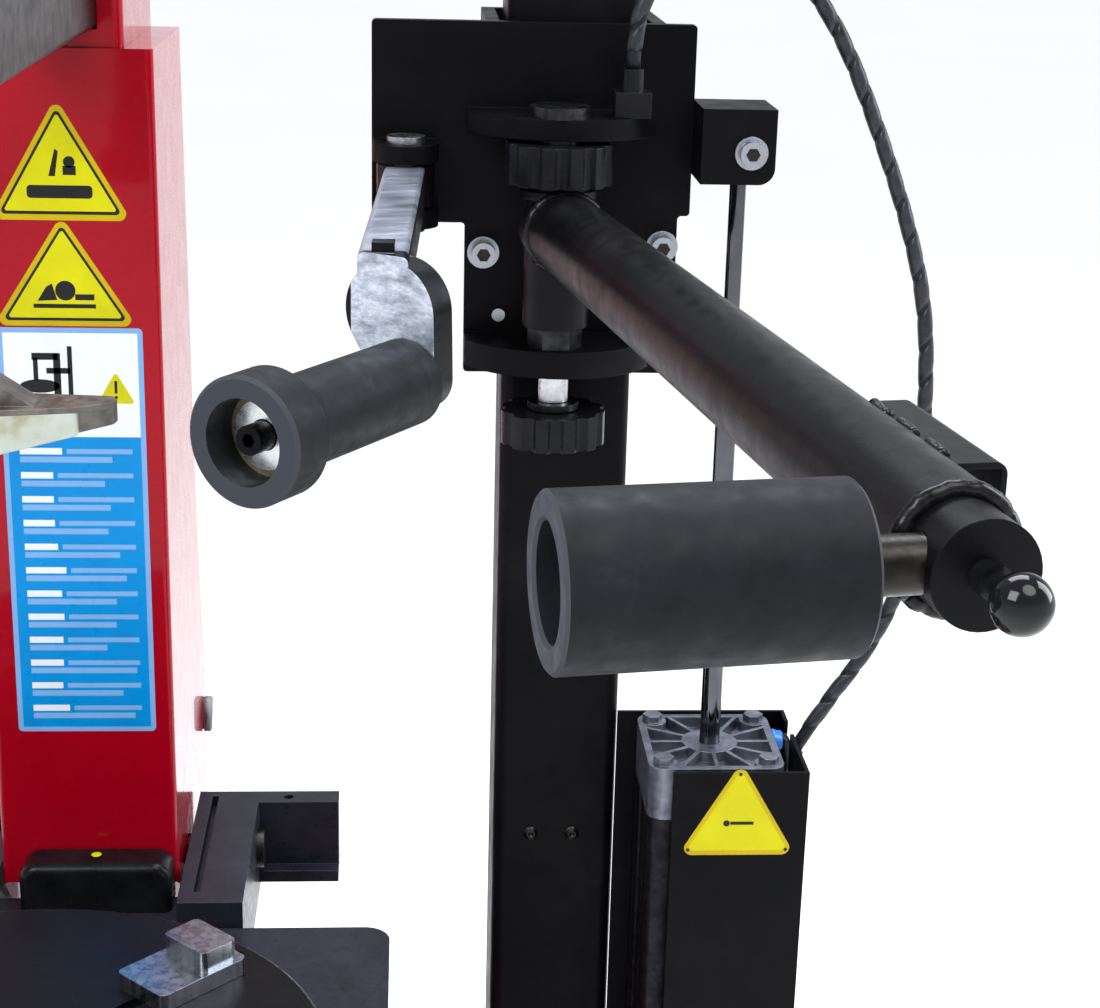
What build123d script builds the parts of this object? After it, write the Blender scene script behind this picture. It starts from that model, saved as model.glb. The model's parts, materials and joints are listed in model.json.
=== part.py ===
from build123d import *
import math
import os

# Tilt-back tyre changer with a pneumatic help arm on its right-hand side.
# Frame: origin on the floor at the centre of the anchor holes, below the turntable.
# +X to the operator's right, +Y to the back of the machine, +Z up. Millimetres.

# ---------------------------------------------------------------- driving sizes
CAB_HALF_W = 270.0        # cabinet half width
CAB_FRONT = -340.0        # cabinet front wall
CAB_BACK = 350.0          # cabinet back wall
BASE_H = 60.0             # height of the floor pan
SHELL_TOP = 612.0         # top edge of the sheet-metal body
SHEET = 3.0               # cabinet sheet
DECK_T = 6.0              # deck plate thickness
ANCHOR_X = 295.0          # anchor hole offsets
ANCHOR_Y = 300.0
ANCHOR_R = 8.0

TABLE_R = 235.0           # turntable radius
TABLE_TOP = 704.0
TABLE_T = 14.0
SPINDLE_R = 30.0
JAW_REST_R = 165.0        # jaw centre radius at rest
SLOT_W = 12.0
RUN = 0.05                # radial running clearance
AIR = 0.3                 # gap between sliding faces of different bodies

WHEEL_TIP_R = 60.0        # worm wheel
WHEEL_TEETH = 40
WORM_R = 15.0
WORM_Z = 517.5
WORM_Y = WHEEL_TIP_R + WORM_R + 0.5
BIG_PULLEY_R = 60.0
SMALL_PULLEY_R = 30.0
MOTOR_Z = 250.0
PULLEY_X = -139.0         # middle plane of the belt
BELT_W = 12.0
BELT_T = 8.0

TILT_Y = 545.0            # tilt hinge axis of the main column
TILT_Z = 600.0
TILT_PIN_R = 15.0
COLUMN_HALF_W = 80.0      # red column
COLUMN_FRONT = 420.0
COLUMN_TOP = 1385.0
COLUMN_SHEET = 4.0
LUG_DROP = 105.0          # hinge axis to the tilt rod's pin

ARM_Z = 1435.0            # axis of the horizontal arm
ARM_HALF = 35.0
SHAFT_Y = -100.0          # hexagonal shaft axis
HEX_AF = 40.0
SHAFT_BOTTOM = 1206.0
SHAFT_TOP = 1960.0
END_BLOCK_HALF_H = 40.0
LEVER_PIN_R = 5.0

POST_X = 411.0            # help-arm post
POST_Y = 279.0
POST_HALF = 50.0
POST_BOTTOM = 150.0
POST_TOP = 1660.0
PAD_GAP = 6.0             # gap between post and carriage plates

PIVOT_X = 397.0           # vertical pivot of the press arm
PIVOT_Y = 168.0
PIVOT_R = 15.0
ARM_TUBE_Z = 1289.0
ARM_TUBE_R = 28.5
ARM_DIR_DEG = -81.07      # plan direction of the press arm, from +X
TUBE_END = 729.0          # distances along the press arm from its pivot
SLEEVE_END = 762.5
SLEEVE_R = 23.5
ROLLER_SHAFT_AT = 744.5
KNOB_AT = 794.5
KNOB_R = 12.5
ROLLER_R = 36.0
ROLLER_BORE_R = 24.0
ROLLER_START = 49.0       # distances from the press arm's axis, to its left
ROLLER_END = 172.0
ROLLER_SHAFT_R = 12.5

BAR_PIVOT = (287.0, 190.0)        # vertical pivot of the bar arm
BAR_TOP = 1330.0
BAR_SIZE = 30.0
BAR_END = (274.5, -172.0)
TULIP_BACK = (288.0, -168.5)      # back end of the tulip roller's axis, in plan
TULIP_FRONT = (205.0, -297.3)
TULIP_Z = 1258.0
TULIP_BODY_R = 25.5
TULIP_FLANGE_R = 35.5
TULIP_RECESS_R = 23.5
STUD_R = 8.0

ROD_X = 529.0             # lift cylinder axis
ROD_Y = 178.0
CYL_HALF = 53.0
CYL_BOTTOM = 280.0
CYL_TOP = 878.0
COVER_H = 43.0
ROD_R = 8.0
ROD_THIN_R = 6.0
LIFT_BORE_R = 40.0

BREAKER_X = 330.0         # bead breaker arm pivot
BREAKER_Y = 120.0
BREAKER_Z = 356.0
BREAKER_DIR_DEG = -76.0
BREAKER_ROD_Y = -26.0
PEDAL_Y = -280.0
PEDAL_Z = 110.0
PEDAL_SHAFT_R = 8.0
PEDAL_XS = [-110.0, 0.0, 110.0]

HOSE_R = 5.75
# Route of the spiral-wrapped air hose, from the lift cylinder up to the carriage.
HOSE_ROUTE = [
    (603, 200, 862), (628, 204, 903), (657, 206, 943), (681, 205, 1000), (688, 203, 1075),
    (687, 201, 1150), (681, 200, 1225), (661, 200, 1293), (633, 199, 1362), (602, 197, 1428),
    (566, 192, 1474), (536, 188, 1490), (499, 183, 1489), (467, 179, 1470), (449, 176, 1438),
    (449, 176, 1402),
]

os.makedirs("parts", exist_ok=True)


def keep(piece, node):
    """Label a finished piece and write it as its own STEP file."""
    piece.label = node
    export_step(piece, f"parts/{node}.step")


def block(x0, x1, y0, y1, z0, z1, mode=Mode.ADD):
    """A box between two corners, added to the part being built."""
    with Locations(((x0 + x1) / 2, (y0 + y1) / 2, (z0 + z1) / 2)):
        Box(x1 - x0, y1 - y0, z1 - z0, mode=mode)


def round_x(x0, x1, y, z, r, mode=Mode.ADD):
    """A round bar along X."""
    with Locations(Location(((x0 + x1) / 2, y, z), (0, 90, 0))):
        Cylinder(r, x1 - x0, mode=mode)


def round_y(y0, y1, x, z, r, mode=Mode.ADD):
    """A round bar along Y."""
    with Locations(Location((x, (y0 + y1) / 2, z), (90, 0, 0))):
        Cylinder(r, y1 - y0, mode=mode)


def round_z(z0, z1, x, y, r, mode=Mode.ADD):
    """A round bar along Z."""
    with Locations((x, y, (z0 + z1) / 2)):
        Cylinder(r, z1 - z0, mode=mode)


# ---------------------------------------------------------------- floor and cabinet
EAR = 50.0
EAR_T = 8.0
PAN_WALL = 5.0
with BuildPart() as base_frame:
    block(-CAB_HALF_W, CAB_HALF_W, CAB_FRONT, CAB_BACK, 0, BASE_H)
    block(-CAB_HALF_W + PAN_WALL, CAB_HALF_W - PAN_WALL, CAB_FRONT + PAN_WALL,
          CAB_BACK - PAN_WALL, PAN_WALL, BASE_H, Mode.SUBTRACT)
    for side in (-1, 1):
        for end in (-1, 1):
            with Locations((side * (CAB_HALF_W + EAR / 2), end * ANCHOR_Y, EAR_T / 2)):
                Box(EAR, EAR + 10, EAR_T)
    with GridLocations(2 * ANCHOR_X, 2 * ANCHOR_Y, 2, 2):
        Cylinder(ANCHOR_R, 2 * EAR_T, mode=Mode.SUBTRACT)
    # common shaft of the pedals, welded between two uprights
    round_x(-180, 180, PEDAL_Y, PEDAL_Z, PEDAL_SHAFT_R)
    for x in (-176, 176):
        block(x - 4, x + 4, PEDAL_Y - 20, PEDAL_Y + 20, PAN_WALL, PEDAL_Z + 18)
keep(base_frame.part, "base_frame")

CORNER_R = 18.0
with BuildPart() as cabinet_shell:
    with BuildSketch(Plane.XY.offset(BASE_H)):
        with Locations((0, (CAB_FRONT + CAB_BACK) / 2)):
            RectangleRounded(2 * CAB_HALF_W, CAB_BACK - CAB_FRONT, CORNER_R)
            RectangleRounded(2 * (CAB_HALF_W - SHEET), CAB_BACK - CAB_FRONT - 2 * SHEET,
                             CORNER_R - SHEET, mode=Mode.SUBTRACT)
    extrude(amount=SHELL_TOP - BASE_H)
    # opening for the pedals, and holes for the breaker rod and the tilt rod
    block(-175, 175, CAB_FRONT - 5, CAB_FRONT + 10, 66, 150, Mode.SUBTRACT)
    round_x(CAB_HALF_W - 10, CAB_HALF_W + 5, BREAKER_ROD_Y, BREAKER_Z, 20, Mode.SUBTRACT)
    round_y(CAB_BACK - 10, CAB_BACK + 5, 0, TILT_Z - LUG_DROP, 20, Mode.SUBTRACT)
keep(cabinet_shell.part, "cabinet_shell")

with BuildPart() as deck_plate:
    with BuildSketch(Plane.XY.offset(SHELL_TOP)):
        with Locations((0, (CAB_FRONT + CAB_BACK) / 2)):
            RectangleRounded(2 * CAB_HALF_W + 10, CAB_BACK - CAB_FRONT + 6, CORNER_R + 5)
        Circle(45, mode=Mode.SUBTRACT)
    extrude(amount=DECK_T)
keep(deck_plate.part, "deck_plate")

# ---------------------------------------------------------------- rear frame with the tilt hinge
RAIL_IN = 84.0
RAIL_OUT = 143.0
FRAME_BACK = 590.0
FRAME_TOP = 640.0
STRIP_OUT = 222.0
with BuildPart() as rear_frame:
    block(-STRIP_OUT, STRIP_OUT, CAB_BACK, CAB_BACK + 10, 430, SHELL_TOP - 1)
    round_y(CAB_BACK - 5, CAB_BACK + 15, 0, TILT_Z - LUG_DROP, 20, Mode.SUBTRACT)
    block(-RAIL_IN, RAIL_IN, CAB_BACK + 10, 412, 598, 618)
    for side in (-1, 1):
        low, high = sorted((side * RAIL_IN, side * RAIL_OUT))
        block(low, high, CAB_BACK + 10, FRAME_BACK, 545, FRAME_TOP)
        # slot along the rail's top
        low, high = sorted((side * (RAIL_IN + 13), side * (RAIL_IN + 19)))
        block(low, high, CAB_BACK + 30, FRAME_BACK - 10, FRAME_TOP - 12, FRAME_TOP + 1, Mode.SUBTRACT)
        low, high = sorted((side * RAIL_OUT, side * STRIP_OUT))
        block(low, high, 565, FRAME_BACK, 560, FRAME_TOP)
        # ledge along the strip's foot
        block(low, high, 550, 565, 560, 572)
        round_z(FRAME_TOP - 30, FRAME_TOP + 5, side * 172, 577, 5, Mode.SUBTRACT)
    round_x(-RAIL_OUT - 5, RAIL_OUT + 5, TILT_Y, TILT_Z, TILT_PIN_R, Mode.SUBTRACT)
keep(rear_frame.part, "rear_frame")

with BuildPart() as tilt_hinge_pin:
    round_x(-150, 150, TILT_Y, TILT_Z, TILT_PIN_R)
    for side in (-1, 1):
        low, high = sorted((side * RAIL_OUT, side * 150))
        round_x(low, high, TILT_Y, TILT_Z, 19)
keep(tilt_hinge_pin.part, "tilt_hinge_pin")

with BuildPart() as column_foot_cover:
    block(-59, 77, 382, 417, 618, 665)
    fillet(column_foot_cover.edges().filter_by(Axis.Y).group_by(Axis.Z)[-1], 16)
    fillet(column_foot_cover.faces().sort_by(Axis.Y)[0].edges().sort_by(Axis.Z)[-1], 8)
    round_z(664, 668, 9, 400, 5)
keep(column_foot_cover.part, "column_foot_cover")

# ---------------------------------------------------------------- tilting main column
with BuildPart() as tilt_column:
    with BuildSketch(Plane.YZ.offset(-COLUMN_HALF_W)):
        with BuildLine():
            Polyline((COLUMN_FRONT, 630), (COLUMN_FRONT, COLUMN_TOP), (627, COLUMN_TOP),
                     (660, 921), (697, 727), (697, 640), (672, 522), (528, 522), close=True)
        make_face()
    extrude(amount=2 * COLUMN_HALF_W)
    fillet(tilt_column.edges().filter_by(Axis.Z).group_by(Axis.Y)[0], 6)
    with BuildSketch(Plane.YZ.offset(-COLUMN_HALF_W + COLUMN_SHEET)):
        with BuildLine():
            Polyline((COLUMN_FRONT + 4, 634), (COLUMN_FRONT + 4, COLUMN_TOP - 8),
                     (623, COLUMN_TOP - 8), (656, 921), (693, 727), (693, 640), (670, 515),
                     (528, 515), close=True)
        make_face()
    extrude(amount=2 * (COLUMN_HALF_W - COLUMN_SHEET), mode=Mode.SUBTRACT)
    # hinge tube across the foot, with the two lugs that the tilt cylinder pulls
    round_x(-COLUMN_HALF_W, COLUMN_HALF_W, TILT_Y, TILT_Z, 25)
    for side in (-1, 1):
        low, high = sorted((side * 15, side * 25))
        block(low, high, TILT_Y - 24, TILT_Y + 24, TILT_Z - LUG_DROP - 24, TILT_Z)
    round_x(-30, 30, TILT_Y, TILT_Z - LUG_DROP, 14, Mode.SUBTRACT)
    round_x(-90, 90, TILT_Y, TILT_Z, TILT_PIN_R + RUN, Mode.SUBTRACT)
keep(tilt_column.part, "tilt_column")

HEAD_HALF_W = 56.0
with BuildPart() as column_head:
    block(-HEAD_HALF_W, HEAD_HALF_W, COLUMN_FRONT + 4, 622, COLUMN_TOP, ARM_Z + 50)
    fillet(column_head.edges().filter_by(Axis.Z), 8)
    block(-ARM_HALF - AIR, ARM_HALF + AIR, COLUMN_FRONT - 5, 640, ARM_Z - ARM_HALF - AIR,
          ARM_Z + ARM_HALF + AIR, Mode.SUBTRACT)
keep(column_head.part, "column_head")

# pneumatic cylinder that pulls the column's foot forward, so that the column tips back
TILT_CYL_R = 35.0
with BuildPart() as tilt_cylinder:
    round_y(112, 347, 0, TILT_Z - LUG_DROP, TILT_CYL_R)
    block(-38, 38, 330, 347, TILT_Z - LUG_DROP - 38, TILT_Z - LUG_DROP + 38)
    round_y(122, 330, 0, TILT_Z - LUG_DROP, 28, Mode.SUBTRACT)
    round_y(320, 350, 0, TILT_Z - LUG_DROP, 10 + RUN, Mode.SUBTRACT)
keep(tilt_cylinder.part, "tilt_cylinder")

with BuildPart() as tilt_rod:
    round_y(236, TILT_Y - 10, 0, TILT_Z - LUG_DROP, 10)
    round_y(216, 236, 0, TILT_Z - LUG_DROP, 27.5)
    block(-14, 14, TILT_Y - 14, TILT_Y + 14, TILT_Z - LUG_DROP - 13, TILT_Z - LUG_DROP + 13)
    round_x(-32, 32, TILT_Y, TILT_Z - LUG_DROP, 6)
keep(tilt_rod.part, "tilt_rod")

# ---------------------------------------------------------------- arm, hexagonal shaft, mount head
with BuildPart() as horizontal_arm:
    block(-ARM_HALF, ARM_HALF, SHAFT_Y + 40, 760, ARM_Z - ARM_HALF, ARM_Z + ARM_HALF)
    fillet(horizontal_arm.edges().filter_by(Axis.Y), 6)
    block(-ARM_HALF + 5, ARM_HALF - 5, SHAFT_Y + 50, 761, ARM_Z - ARM_HALF + 5,
          ARM_Z + ARM_HALF - 5, Mode.SUBTRACT)
    block(-42, 42, SHAFT_Y - 42, SHAFT_Y + 45, ARM_Z - END_BLOCK_HALF_H, ARM_Z + END_BLOCK_HALF_H)
    block(-36, 36, 756, 760, ARM_Z - 36, ARM_Z + 36)
    with BuildSketch(Plane.XY.offset(ARM_Z - 60)):
        with Locations((0, SHAFT_Y)):
            RegularPolygon(HEX_AF / 2 + AIR, 6, major_radius=False)
    extrude(amount=120, mode=Mode.SUBTRACT)
    # stub and pin for the lock lever
    round_x(-56, -42, SHAFT_Y, ARM_Z, 10)
    round_x(-76, -56, SHAFT_Y, ARM_Z, LEVER_PIN_R)
    round_x(-76, -72.5, SHAFT_Y, ARM_Z, 9)
keep(horizontal_arm.part, "horizontal_arm")

with BuildPart() as lock_handle:
    round_x(-72, -57, SHAFT_Y, ARM_Z, 16)
    block(-69, -60, SHAFT_Y - 120, SHAFT_Y, ARM_Z - 7, ARM_Z + 7)
    with Locations((-64.5, SHAFT_Y - 128, ARM_Z)):
        Sphere(16)
    round_x(-73, -56, SHAFT_Y, ARM_Z, LEVER_PIN_R + RUN, Mode.SUBTRACT)
keep(lock_handle.part, "lock_handle")

with BuildPart() as hex_shaft:
    with BuildSketch(Plane.XY.offset(SHAFT_BOTTOM)):
        with Locations((0, SHAFT_Y)):
            RegularPolygon(HEX_AF / 2, 6, major_radius=False)
    extrude(amount=SHAFT_TOP - SHAFT_BOTTOM)
    round_z(SHAFT_TOP, SHAFT_TOP + 14, 0, SHAFT_Y, 38)
    fillet(hex_shaft.edges().group_by(Axis.Z)[-1], 4)
keep(hex_shaft.part, "hex_shaft")

# compression spring that carries the shaft and its mount head
SPRING_R = 30.0
SPRING_WIRE_R = 2.5
SPRING_LOW = ARM_Z + END_BLOCK_HALF_H
SPRING_HIGH = SHAFT_TOP
SPRING_PITCH = 24.0
with BuildPart() as shaft_spring:
    with BuildLine(Plane(origin=(0, SHAFT_Y, SPRING_LOW + 6))) as coil:
        Helix(SPRING_PITCH, SPRING_HIGH - SPRING_LOW - 12, SPRING_R)
    with BuildSketch(Plane(origin=coil.line @ 0, z_dir=coil.line % 0)):
        Circle(SPRING_WIRE_R)
    sweep(path=coil.line, is_frenet=True)
    for z in (SPRING_LOW + 2.6, SPRING_HIGH - 2.6):
        with Locations((0, SHAFT_Y, z)):
            Torus(SPRING_R, SPRING_WIRE_R)
keep(shaft_spring.part, "shaft_spring")

FINGER_TOP = 1227.0
FINGER_LOW = 1196.0
LIP_T = 3.5
with BuildPart() as mount_head:
    round_z(FINGER_LOW, 1262, 0, SHAFT_Y, 30)
    with BuildSketch(Plane.XY.offset(FINGER_LOW)):
        with BuildLine():
            Polyline((-44, -106), (-20, -119), (25, -121), (112, -104), (114, -97), (110, -88),
                     (60, -82), (0, -74), (-36, -86), close=True)
        make_face()
        fillet(vertices(), 2.5)
    extrude(amount=FINGER_TOP - FINGER_LOW)
    with BuildSketch(Plane.XY.offset(FINGER_TOP - LIP_T)):
        with BuildLine():
            Polyline((25, -128.5), (92, -115.5), (112, -104), (60, -90), (20, -100), close=True)
        make_face()
    extrude(amount=LIP_T)
    # gusset from the boss down to the finger
    with BuildSketch(Plane.XZ.offset(91)):
        with BuildLine():
            Polyline((20, 1226), (20, 1258), (68, 1226), close=True)
        make_face()
    extrude(amount=24)
    # the finger tapers from below towards its tip
    with BuildSketch(Plane.XZ.offset(60)):
        with BuildLine():
            Polyline((30, 1190), (30, 1196), (114, 1214), (130, 1214), (130, 1190), close=True)
        make_face()
    extrude(amount=80, mode=Mode.SUBTRACT)
    with BuildSketch(Plane.XY.offset(SHAFT_BOTTOM)):
        with Locations((0, SHAFT_Y)):
            RegularPolygon(HEX_AF / 2, 6, major_radius=False)
    extrude(amount=80, mode=Mode.SUBTRACT)
keep(mount_head.part, "mount_head")

with BuildPart() as head_insert:
    with BuildSketch(Plane.XY.offset(1194)):
        with BuildLine():
            Polyline((25, -121), (92, -107.91), (92, -115.5), (25, -128.5), close=True)
        make_face()
    extrude(amount=FINGER_TOP - LIP_T - 1194)
    with BuildSketch(Plane.XZ.offset(90)):
        with BuildLine():
            Polyline((20, 1180), (20, 1194), (95, 1210), (95, 1180), close=True)
        make_face()
    extrude(amount=60, mode=Mode.SUBTRACT)
    fillet(head_insert.edges().filter_by(Axis.Z).sort_by(Axis.X)[-1], 2)
keep(head_insert.part, "head_insert")

# ---------------------------------------------------------------- turntable and its drive
SLIDE_ANGLES = [45, 135, 225, 315]
with BuildPart() as turntable_disc:
    round_z(TABLE_TOP - TABLE_T, TABLE_TOP, 0, 0, TABLE_R)
    fillet(turntable_disc.edges().group_by(Axis.Z)[-1], 3)
    for angle in SLIDE_ANGLES:
        with BuildSketch(Plane.XY.offset(TABLE_TOP - 20)):
            with Locations(Location((0, 0, 0), (0, 0, angle))):
                with Locations((150, 0)):
                    SlotOverall(150, SLOT_W)
        extrude(amount=30, mode=Mode.SUBTRACT)
    with PolarLocations(60, 4):
        Cylinder(5.5, 3 * TABLE_TOP, mode=Mode.SUBTRACT)
keep(turntable_disc.part, "turntable_disc")

SPINDLE_FLANGE_R = 85.0
with BuildPart() as turntable_spindle:
    round_z(470, TABLE_TOP - TABLE_T, 0, 0, SPINDLE_R)
    round_z(TABLE_TOP - TABLE_T - 12, TABLE_TOP - TABLE_T, 0, 0, SPINDLE_FLANGE_R)
    round_z(WORM_Z - 14, WORM_Z + 14, 0, 0, WHEEL_TIP_R)
    with Locations((0, 0, WORM_Z)):
        with PolarLocations(WHEEL_TIP_R, WHEEL_TEETH):
            Box(8, 4.2, 40, mode=Mode.SUBTRACT)
keep(turntable_spindle.part, "turntable_spindle")

with BuildPart() as jaw_cylinders:
    for y in (-112, 112):
        round_x(-105, 105, y, 654, 26)
        block(-20, 20, y - 12, y + 12, 676, TABLE_TOP - TABLE_T)
keep(jaw_cylinders.part, "jaw_cylinders")

JAW_HALF_L = 42.0
JAW_HALF_W = 28.0
JAW_FOOT = 14.0


def jaw_on(angle):
    """One clamping jaw in its radial slot, at its rest radius."""
    around = Plane.XY.rotated((0, 0, angle))
    with BuildPart() as jaw:
        with BuildSketch(around.offset(TABLE_TOP + AIR)):
            with Locations((JAW_REST_R, 0)):
                RectangleRounded(2 * JAW_HALF_L, 2 * JAW_HALF_W, 6)
        extrude(amount=JAW_FOOT)
        with BuildSketch(around.offset(TABLE_TOP + AIR)):
            with Locations((JAW_REST_R + 18, 0)):
                RectangleRounded(34, 2 * JAW_HALF_W - 8, 5)
        extrude(amount=31)
        # key that runs in the slot
        with BuildSketch(around.offset(TABLE_TOP - TABLE_T - 4)):
            with Locations((JAW_REST_R, 0)):
                Rectangle(40, SLOT_W - 2 * AIR)
        extrude(amount=TABLE_T + 6)
    return jaw.part


for index, angle in enumerate(SLIDE_ANGLES):
    keep(jaw_on(angle), f"jaw_{index + 1}")

with BuildPart() as gearbox_housing:
    block(-88, 88, -88, 108, 430, SHELL_TOP)
    fillet(gearbox_housing.edges().filter_by(Axis.Z), 12)
    block(-76, 76, -76, 96, 442, 600, Mode.SUBTRACT)
    round_z(590, 620, 0, 0, SPINDLE_R + RUN, Mode.SUBTRACT)
    round_x(-95, -70, WORM_Y, WORM_Z, 12 + RUN, Mode.SUBTRACT)
    round_x(70, 84, WORM_Y, WORM_Z, 12 + RUN, Mode.SUBTRACT)
keep(gearbox_housing.part, "gearbox_housing")


def grooved_pulley(x, y, z, r):
    """V-belt pulley on an X axis: two flanges and the groove between them."""
    round_x(x - 10, x + 10, y, z, r)
    with BuildSketch(Plane.XY.offset(z)) as groove:
        with BuildLine():
            Polyline((x - BELT_W / 2 - AIR, y + r + 4), (x - BELT_W / 2 - AIR, y + r - BELT_T + 2 - AIR),
                     (x + BELT_W / 2 + AIR, y + r - BELT_T + 2 - AIR), (x + BELT_W / 2 + AIR, y + r + 4),
                     close=True)
        make_face()
    revolve(groove.sketch, axis=Axis((0, y, z), (1, 0, 0)), mode=Mode.SUBTRACT)


with BuildPart() as worm_shaft:
    round_x(-151, 82, WORM_Y, WORM_Z, 12)
    round_x(-55, 55, WORM_Y, WORM_Z, WORM_R)
    for turn in range(7):
        with BuildSketch(Plane.XY.offset(WORM_Z)):
            with Locations((-48 + 16 * turn, WORM_Y + WORM_R)):
                Rectangle(7, 4)
        revolve(axis=Axis((0, WORM_Y, WORM_Z), (1, 0, 0)), mode=Mode.SUBTRACT)
    grooved_pulley(PULLEY_X, WORM_Y, WORM_Z, BIG_PULLEY_R)
keep(worm_shaft.part, "worm_shaft")

MOTOR_SHAFT_R = 9.0
with BuildPart() as motor_pulley:
    round_x(-160, -100, WORM_Y, MOTOR_Z, MOTOR_SHAFT_R)
    grooved_pulley(PULLEY_X, WORM_Y, MOTOR_Z, SMALL_PULLEY_R)
keep(motor_pulley.part, "motor_pulley")

MOTOR_R = 66.0
with BuildPart() as motor:
    round_x(-110, 90, WORM_Y, MOTOR_Z, MOTOR_R)
    with Locations(Location((-10, WORM_Y, MOTOR_Z), (0, 90, 0))):
        with PolarLocations(MOTOR_R, 24):
            Box(6, 4, 160)
    round_x(-115, -95, WORM_Y, MOTOR_Z, MOTOR_SHAFT_R + RUN, Mode.SUBTRACT)
    block(-80, 60, WORM_Y - 50, WORM_Y + 50, PAN_WALL, 190)
    block(-60, 40, WORM_Y - 60, WORM_Y + 60, PAN_WALL + 10, 180, Mode.SUBTRACT)
keep(motor.part, "motor")


def belt_outline(extra):
    """Outline of the belt around both pulleys, extra millimetres outside their belt line."""
    with BuildLine() as outline:
        CenterArc((WORM_Y, WORM_Z), BIG_PULLEY_R + extra, 0, 360)
        CenterArc((WORM_Y, MOTOR_Z), SMALL_PULLEY_R + extra, 0, 360)
    return make_hull(outline.edges())


with BuildPart() as drive_belt:
    with BuildSketch(Plane.YZ.offset(PULLEY_X - BELT_W / 2)):
        add(belt_outline(2))
        add(belt_outline(2 - BELT_T), mode=Mode.SUBTRACT)
    extrude(amount=BELT_W)
keep(drive_belt.part, "drive_belt")

# ---------------------------------------------------------------- pedals
def pedal_at(x):
    """One foot pedal on the common shaft."""
    with BuildPart() as pedal:
        round_x(x - 16, x + 16, PEDAL_Y, PEDAL_Z, 14)
        block(x - 11, x + 11, -445, PEDAL_Y, PEDAL_Z - 7, PEDAL_Z + 5)
        block(x - 38, x + 38, -455, -365, PEDAL_Z + 5, PEDAL_Z + 13)
        fillet(pedal.edges().filter_by(Axis.Z).group_by(Axis.Y)[0], 4)
        round_x(x - 20, x + 20, PEDAL_Y, PEDAL_Z, PEDAL_SHAFT_R + RUN, Mode.SUBTRACT)
    return pedal.part


for index, x in enumerate(PEDAL_XS):
    keep(pedal_at(x), f"pedal_{index + 1}")

# ---------------------------------------------------------------- bead breaker
BREAKER_CYL_R = 68.0
with BuildPart() as breaker_cylinder:
    round_x(-40, 267, BREAKER_ROD_Y, BREAKER_Z, BREAKER_CYL_R)
    round_x(-30, 250, BREAKER_ROD_Y, BREAKER_Z, 60, Mode.SUBTRACT)
    round_x(240, 270, BREAKER_ROD_Y, BREAKER_Z, 10 + RUN, Mode.SUBTRACT)
keep(breaker_cylinder.part, "breaker_cylinder")

with BuildPart() as breaker_rod:
    round_x(120, 446, BREAKER_ROD_Y, BREAKER_Z, 10)
    round_x(100, 120, BREAKER_ROD_Y, BREAKER_Z, 59.5)
    with BuildSketch(Plane.YZ.offset(420)):
        with Locations((BREAKER_ROD_Y, BREAKER_Z)):
            RegularPolygon(18, 6)
    extrude(amount=20)
keep(breaker_rod.part, "breaker_rod")

BREAKER_PIN_R = 12.0
with BuildPart() as breaker_bracket:
    block(CAB_HALF_W, CAB_HALF_W + 8, BREAKER_Y - 60, BREAKER_Y + 60, 285, 427)
    for z in (300, 400):
        block(CAB_HALF_W + 8, BREAKER_X, BREAKER_Y - 28, BREAKER_Y + 28, z, z + 12)
        round_z(z, z + 12, BREAKER_X, BREAKER_Y, 28)
    round_z(290, 422, BREAKER_X, BREAKER_Y, BREAKER_PIN_R)
keep(breaker_bracket.part, "breaker_bracket")

BREAKER_ARM = Plane(origin=(BREAKER_X, BREAKER_Y, BREAKER_Z),
                    x_dir=(math.cos(math.radians(BREAKER_DIR_DEG)), math.sin(math.radians(BREAKER_DIR_DEG)), 0),
                    z_dir=(0, 0, 1))
# In this plane x runs along the breaker arm and +y points to the machine's right.
SHOVEL_PIN = (345.0, -48.0)
with BuildPart() as breaker_arm:
    with BuildSketch(BREAKER_ARM.offset(-35)):
        with Locations((187, 0)):
            Rectangle(346, 56)
        Circle(27)
    extrude(amount=70)
    with BuildSketch(BREAKER_ARM.offset(-42)):
        Circle(27)
    extrude(amount=84)
    with BuildSketch(BREAKER_ARM.offset(-60)):
        Circle(BREAKER_PIN_R + RUN)
    extrude(amount=120, mode=Mode.SUBTRACT)
    # slot that the pull rod passes through
    with BuildSketch(BREAKER_ARM.offset(-16)):
        with Locations((170, 0)):
            Rectangle(100, 60)
    extrude(amount=32, mode=Mode.SUBTRACT)
    # clevis for the shovel
    for low in (-46, 34):
        with BuildSketch(BREAKER_ARM.offset(low)):
            with Locations((SHOVEL_PIN[0], -32)):
                Rectangle(34, 32)
            with Locations(SHOVEL_PIN):
                Circle(17)
        extrude(amount=12)
    with BuildSketch(BREAKER_ARM.offset(-50)):
        with Locations(SHOVEL_PIN):
            Circle(8)
    extrude(amount=100)
    # handle bar with its grip
    with BuildSketch(BREAKER_ARM.offset(30)):
        with Locations((310, 10)):
            Circle(11)
    extrude(amount=190)
    with BuildSketch(BREAKER_ARM.offset(120)):
        with Locations((310, 10)):
            Circle(16)
    extrude(amount=110)
keep(breaker_arm.part, "breaker_arm")

with BuildPart() as breaker_shovel:
    with BuildSketch(BREAKER_ARM.offset(-105)):
        with BuildLine():
            ThreePointArc((250, -62), (345, -70), (440, -62))
            Line((440, -62), (440, -70))
            ThreePointArc((440, -70), (345, -78), (250, -70))
            Line((250, -70), (250, -62))
        make_face()
    extrude(amount=210)
    with BuildSketch(BREAKER_ARM.offset(-33.5)):
        with Locations(SHOVEL_PIN):
            Circle(16)
        with Locations((SHOVEL_PIN[0], -61)):
            Rectangle(26, 20)
    extrude(amount=67)
    with BuildSketch(BREAKER_ARM.offset(-40)):
        with Locations(SHOVEL_PIN):
            Circle(8 + RUN)
    extrude(amount=80, mode=Mode.SUBTRACT)
keep(breaker_shovel.part, "breaker_shovel")

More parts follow.
